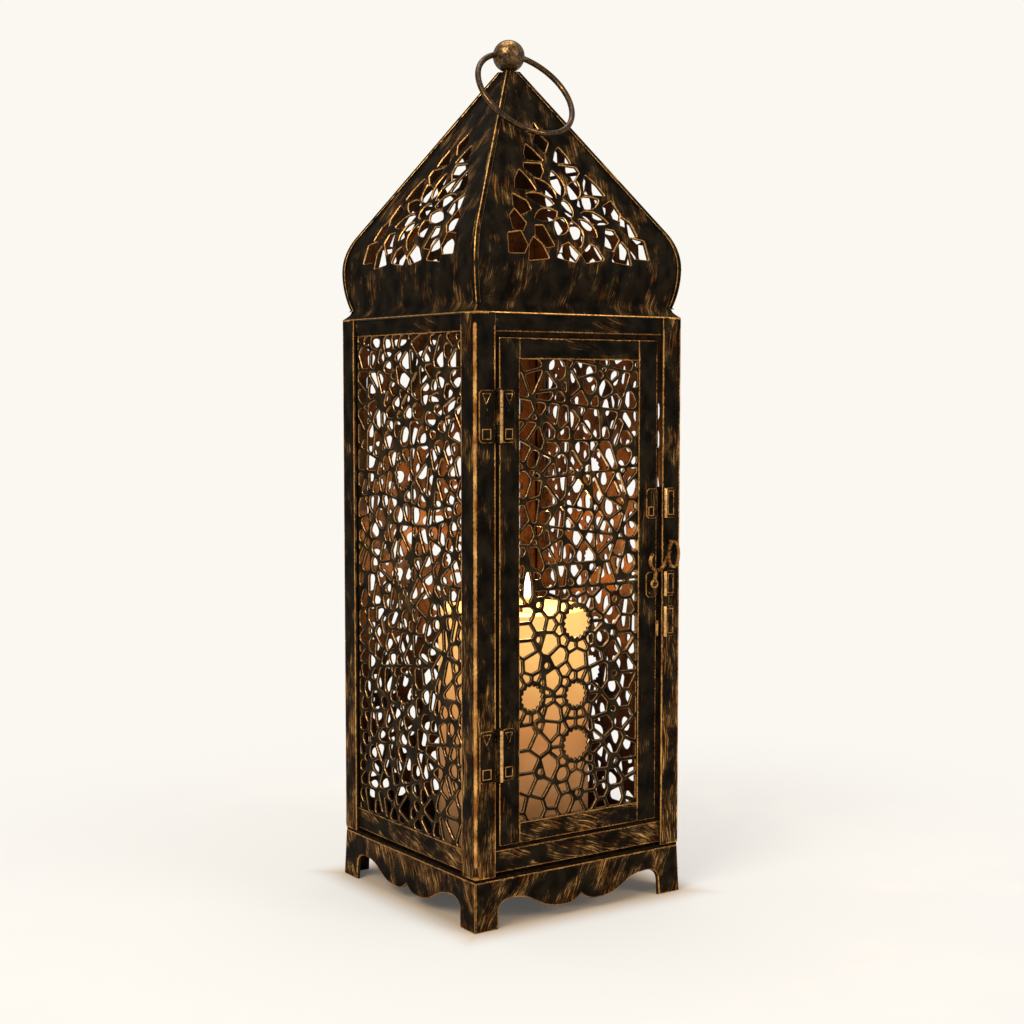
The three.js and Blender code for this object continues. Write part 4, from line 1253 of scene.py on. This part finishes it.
def swept(path, wide, deep, round_by, closed, stand):
    """Rings along a path (x, z). A section is an oval that is cut off flat where
    round_by is over 1, and stand turns (x, z, out of the plane) into a place."""
    rings = []
    count = len(path)
    for i, (x, z) in enumerate(path):
        before = path[i - 1] if closed or i else path[0]
        after = path[(i + 1) % count] if closed or i < count - 1 else path[-1]
        length = math.dist(before, after)
        nx, nz = (before[1] - after[1]) / length, (after[0] - before[0]) / length
        ring = []
        for c, s in around(12):
            across = wide / 2 * max(-1, min(1, round_by * c))
            out = deep / 2 * max(-1, min(1, round_by * s))
            ring.append(stand(x + nx * across, z + nz * across, out))
        rings.append(ring)
    return rings


def bar(name, body, nodes, path, wide, deep, front, loop=False):
    """A flat bar with soft edges that follows a path in the plane of the door."""
    rings = swept(path, wide, deep, 1.25, loop, lambda x, z, out: (x, -front + deep / 2 - out, z))
    strip(name, body, nodes, rings, [hook_round], join=loop)


hook_x, hook_z = 40.24, 145.8
curl_x, curl_z = hook_x + 1.94, hook_z + 10.45
curl = 4.3
hook_path = [(curl_x + curl * c, curl_z + curl * s) for c, s in map(cos_sin, range(130, 331, 10))]
tip_x, tip_z = hook_path[-1]
c, s = cos_sin(60)
hook_path += [(tip_x + t * c, tip_z + t * s) for t in (2.0, 4.0, 6.0, 7.4)]
bar("hook_curl", "hook", ["latch_hook"], hook_path, 1.5, 1.2, 59.3)
bar("hook_stem", "hook", ["latch_hook"], [
    (hook_x, hook_z + 1.2), (hook_x + 0.5, hook_z + 3.4), (curl_x - 0.4, curl_z - curl + 0.4),
], 1.7, 1.2, 59.3)
eye = [(hook_x + 1.5 * c, hook_z + 1.5 * s) for c, s in around(18)]
bar("hook_eye", "hook", ["latch_hook"], eye, 1.2, 1.2, 59.3, loop=True)
dome("latch_rivet_head", "door", hook_x, hook_z, 1.1, 2.5, ["latch_rivet"])

KEEPER_X = 50.4
keeper = [(KEEPER_X + 2.95 * c, 159.0 + 5.85 * s) for c, s in around(24)]
bar("keeper_ring", "lantern", ["keeper_loop"], keeper, 1.1, 1.4, 61.0, loop=True)
for number, z in enumerate((153.15, 164.85)):
    path = [(KEEPER_X, z - 0.55), (KEEPER_X, z + 0.55)]
    bar(f"keeper_leg_{number}", "lantern", ["keeper_loop"], path, 1.1, 3.0, 60.0)

bar("door_pin", "door", [], [(42.9, 121.4), (42.9, 124.5), (42.9, 128.5)], 1.2, 1.0, 58.0)


# Ball, stem and ring of aged brass, rubbed bright in patches. On the ball the bright
# patches fade out downwards, so that its lit top and shaded lower half are painted in.


def aged_brass(name, dark, mid, bright, spots, painted_shade_below=None):
    shade = Shade(name)
    x, y, z = shade.place()
    wide = shade.cloud((x, y, z), 0.16)
    fine = shade.cloud((x, y, z), 1.4)
    clean_and_lit = (wide * 0.8 + fine * 0.35).step(0.42 - spots * 0.12, 0.82 - spots * 0.12)
    # Painted light and shade: the ball's bright brass fades out below, so its top is painted
    # lighter and its lower half darker.
    if painted_shade_below:
        clean_and_lit = clean_and_lit * (z.step(*painted_shade_below) * 0.7 + 0.3)
    brass = shade.colour(clean_and_lit, dark, shade.colour(fine.step(0.4, 0.7), mid, bright))
    shade.relief(fine * 0.6 + wide * 0.4, 0.12, 0.35)
    return shade.set(
        base_color=shade.colour(fine.step(0.36, 0.28) * 0.7, brass, dark),
        metallic=clean_and_lit * 0.35 + 0.6,
        roughness=0.34 - clean_and_lit * 0.08,
    )


BALL_RADIUS, BALL_Z = 7.4, 388.035
ball_brass = aged_brass("aged brass of the ball, painted darker below", "1a1007", "70491f", "dcae6c", 0.6, (382, 397))
ring_brass = aged_brass("dark brass of the ring", "150e07", "402b15", "946c3c", 0.3)
ball = [(1.3, 366), (1.3, 380.9), (2.4, 381.1)]
ball += [(BALL_RADIUS * c, BALL_Z + BALL_RADIUS * s) for c, s in map(cos_sin, range(-68, 90, 6))]
ball += [(0.1, 395.4)]
strip("ball", "lantern", ["finial_ball"], turned(ball, 48), [ball_brass])

# The ring is a hoop that leans on the roof, with a straight run through the ball.
tilt = math.radians(35.6)
hoop = []
for degrees in range(90, 450, 5):
    c, s = cos_sin(degrees)
    x, drop = 24.3 * c, 24.3 * s - 23.15
    if drop > -0.01 or abs(x) < BALL_RADIUS and drop > -2:
        drop = 0.0
    hoop.append((x, drop))
rings = swept(hoop, 2.7, 2.7, 1, True, lambda x, drop, out: (
    x, drop * math.sin(tilt) - out * math.cos(tilt),
    BALL_Z + drop * math.cos(tilt) + out * math.sin(tilt),
))
strip("ring", "ring", ["handle_ring"], rings, [ring_brass], join=True)


# Candle: a pillar with a dished, melted top. It glows from within near the
# flame, and the glow fades down its length.


def wax():
    shade = Shade("candle wax")
    x, y, z = shade.place()
    dx, dy, dz = x - 6.0, y + 3.0, z - 138
    distance = (dx * dx + dy * dy + dz * dz) ** 0.5
    milky = shade.cloud((x, y, z), 0.05, 3, 0.5)
    shade.relief(shade.noise(x * 0.25, y * 0.25, z * 0.12, 3, 0.5), 0.3, 0.3)
    far_glow = shade.colour(distance.step(125, 30), "2a1608", "b86c26")
    return shade.set(
        base_color=shade.colour(milky, "b08254", "cfa26e"),
        emission_color=shade.colour(
            distance.step(75, 12) * (milky * 0.3 + 0.85), far_glow, "ffd478"
        ),
        emission_strength=1.05,
        roughness=milky * 0.2 + 0.42,
    )


CANDLE_RADIUS, CANDLE_X, CANDLE_Y, CANDLE_TOP = 35.5, 1.8, -1.2, 132.1
rings = []
for radius, z, wave in (
    (34.6, FLOOR_TOP, 0), (35.3, 23.6, 0), (35.5, 24.6, 0), (35.5, 60, 0), (35.5, 95, 0),
    (35.5, 124, 0.1), (35.45, 127.6, 0.15), (35.2, 129.6, 0.2), (34.6, 131.1, 0.25),
    (33.6, 131.9, 0.25), (32.4, 131.9, 0.2), (30.5, 131.0, 0.2), (27.6, 130.1, 0.15),
    (22, 129.6, 0.1), (14, 129.5, 0.05), (3, 129.45, 0),
):
    ring = []
    for c, s in around(64):
        ripple = wave * noise.noise((2.2 * c, 2.2 * s, z * 0.05))
        r = radius + min(ripple, CANDLE_RADIUS - radius if radius > 35 else 1)
        ring.append((CANDLE_X + r * c, CANDLE_Y + r * s, min(z + ripple * 1.2, CANDLE_TOP)))
    rings.append(ring)
strip("pillar_candle", "lantern", ["candle"], rings, [wax()])

burnt = Shade("burnt wick")
x, y, z = burnt.place()
char = burnt.noise(x * 1.5, y * 1.5, z * 0.6, 4, 0.7)
burnt.relief(char, 0.2, 0.8)
burnt.set(base_color=burnt.colour(char.step(0.3, 0.7), "0b0806", "4a2c18"), roughness=0.9)
rings = []
for radius, lean, z in (
    (0.9, 0, 129.3), (0.85, 0.3, 131), (0.8, 1.1, 133), (0.7, 2.1, 134.6), (0.35, 2.6, 135.4),
):
    rings += turned([(radius, z)], 8, 4.6 + lean * 0.85, -3.2 - lean * 0.5)
strip("wick_string", "lantern", ["wick"], rings, [burnt.material])

fire = Shade("candle flame")
x, y, z = fire.place()
pale = fire.colour(z.step(144, 152), "fff0c4", "ffb347")
fire.set(
    base_color=(0, 0, 0, 1), roughness=1.0, emission_strength=2.8,
    emission_color=fire.colour(z.step(134.5, 139), "e07a1c", pale),
)
flame = (
    (0.3, 134.2), (1.5, 135.4), (2.2, 137.2), (2.45, 139.2), (2.3, 141.6), (1.8, 144.4),
    (1.15, 147.4), (0.6, 150), (0.15, 152.2),
)
strip("flame", "lantern", [], turned(flame, 16, 7.0, -4.7), [fire.material])


# The floor plate keeps its CAD form, and so do washer and nut inside the tip.

for node in ("floor_plate", "finial_washer", "finial_nut"):
    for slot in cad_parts[node].material_slots:
        slot.material = hidden


# Floor under the lantern, for the picture only. Near the lantern it takes soft shadows,
# and under and close round the base its colour is painted a darker brown as a painted
# shadow; further off it melts into the backdrop.

ground = bmesh.new()
bmesh.ops.create_grid(ground, x_segments=1, y_segments=1, size=9)
ground_data = bpy.data.meshes.new("floor")
ground.to_mesh(ground_data)
ground.free()
floor = add_object("floor", ground_data)
floor_shade = Shade("studio floor")
x, y, z = floor_shade.place()
distance = (x * x + y * y) ** 0.5
square = ((x * x) ** 0.5).most((y * y) ** 0.5)
# Painted shadow: the floor's colour turns a darker brown under and close round the base.
floor_shade.set(
    base_color=floor_shade.colour(square.step(54, 76), "c8ad8c", "ebe6df"),
    roughness=0.9, specular_ior_level=0.1,
)
far = floor_shade.node("ShaderNodeEmission")
far.inputs["Color"].default_value = BACKDROP
blend = floor_shade.node("ShaderNodeMixShader")
light_path = floor_shade.node("ShaderNodeLightPath")
seen_directly = Number(floor_shade, light_path.outputs["Is Camera Ray"])
melt = (square.step(54, 74) * 0.42 + distance.step(90, 420) * 0.5 + 0.08).least(1.0)
mixed = (melt * seen_directly, floor_shade.shader.outputs[0], far.outputs[0])
for socket, value in zip(blend.inputs, mixed):
    floor_shade.plug(socket, value)
floor_shade.plug(floor_shade.tree.nodes["Material Output"].inputs["Surface"], blend.outputs[0])
ground_data.materials.append(floor_shade.material)
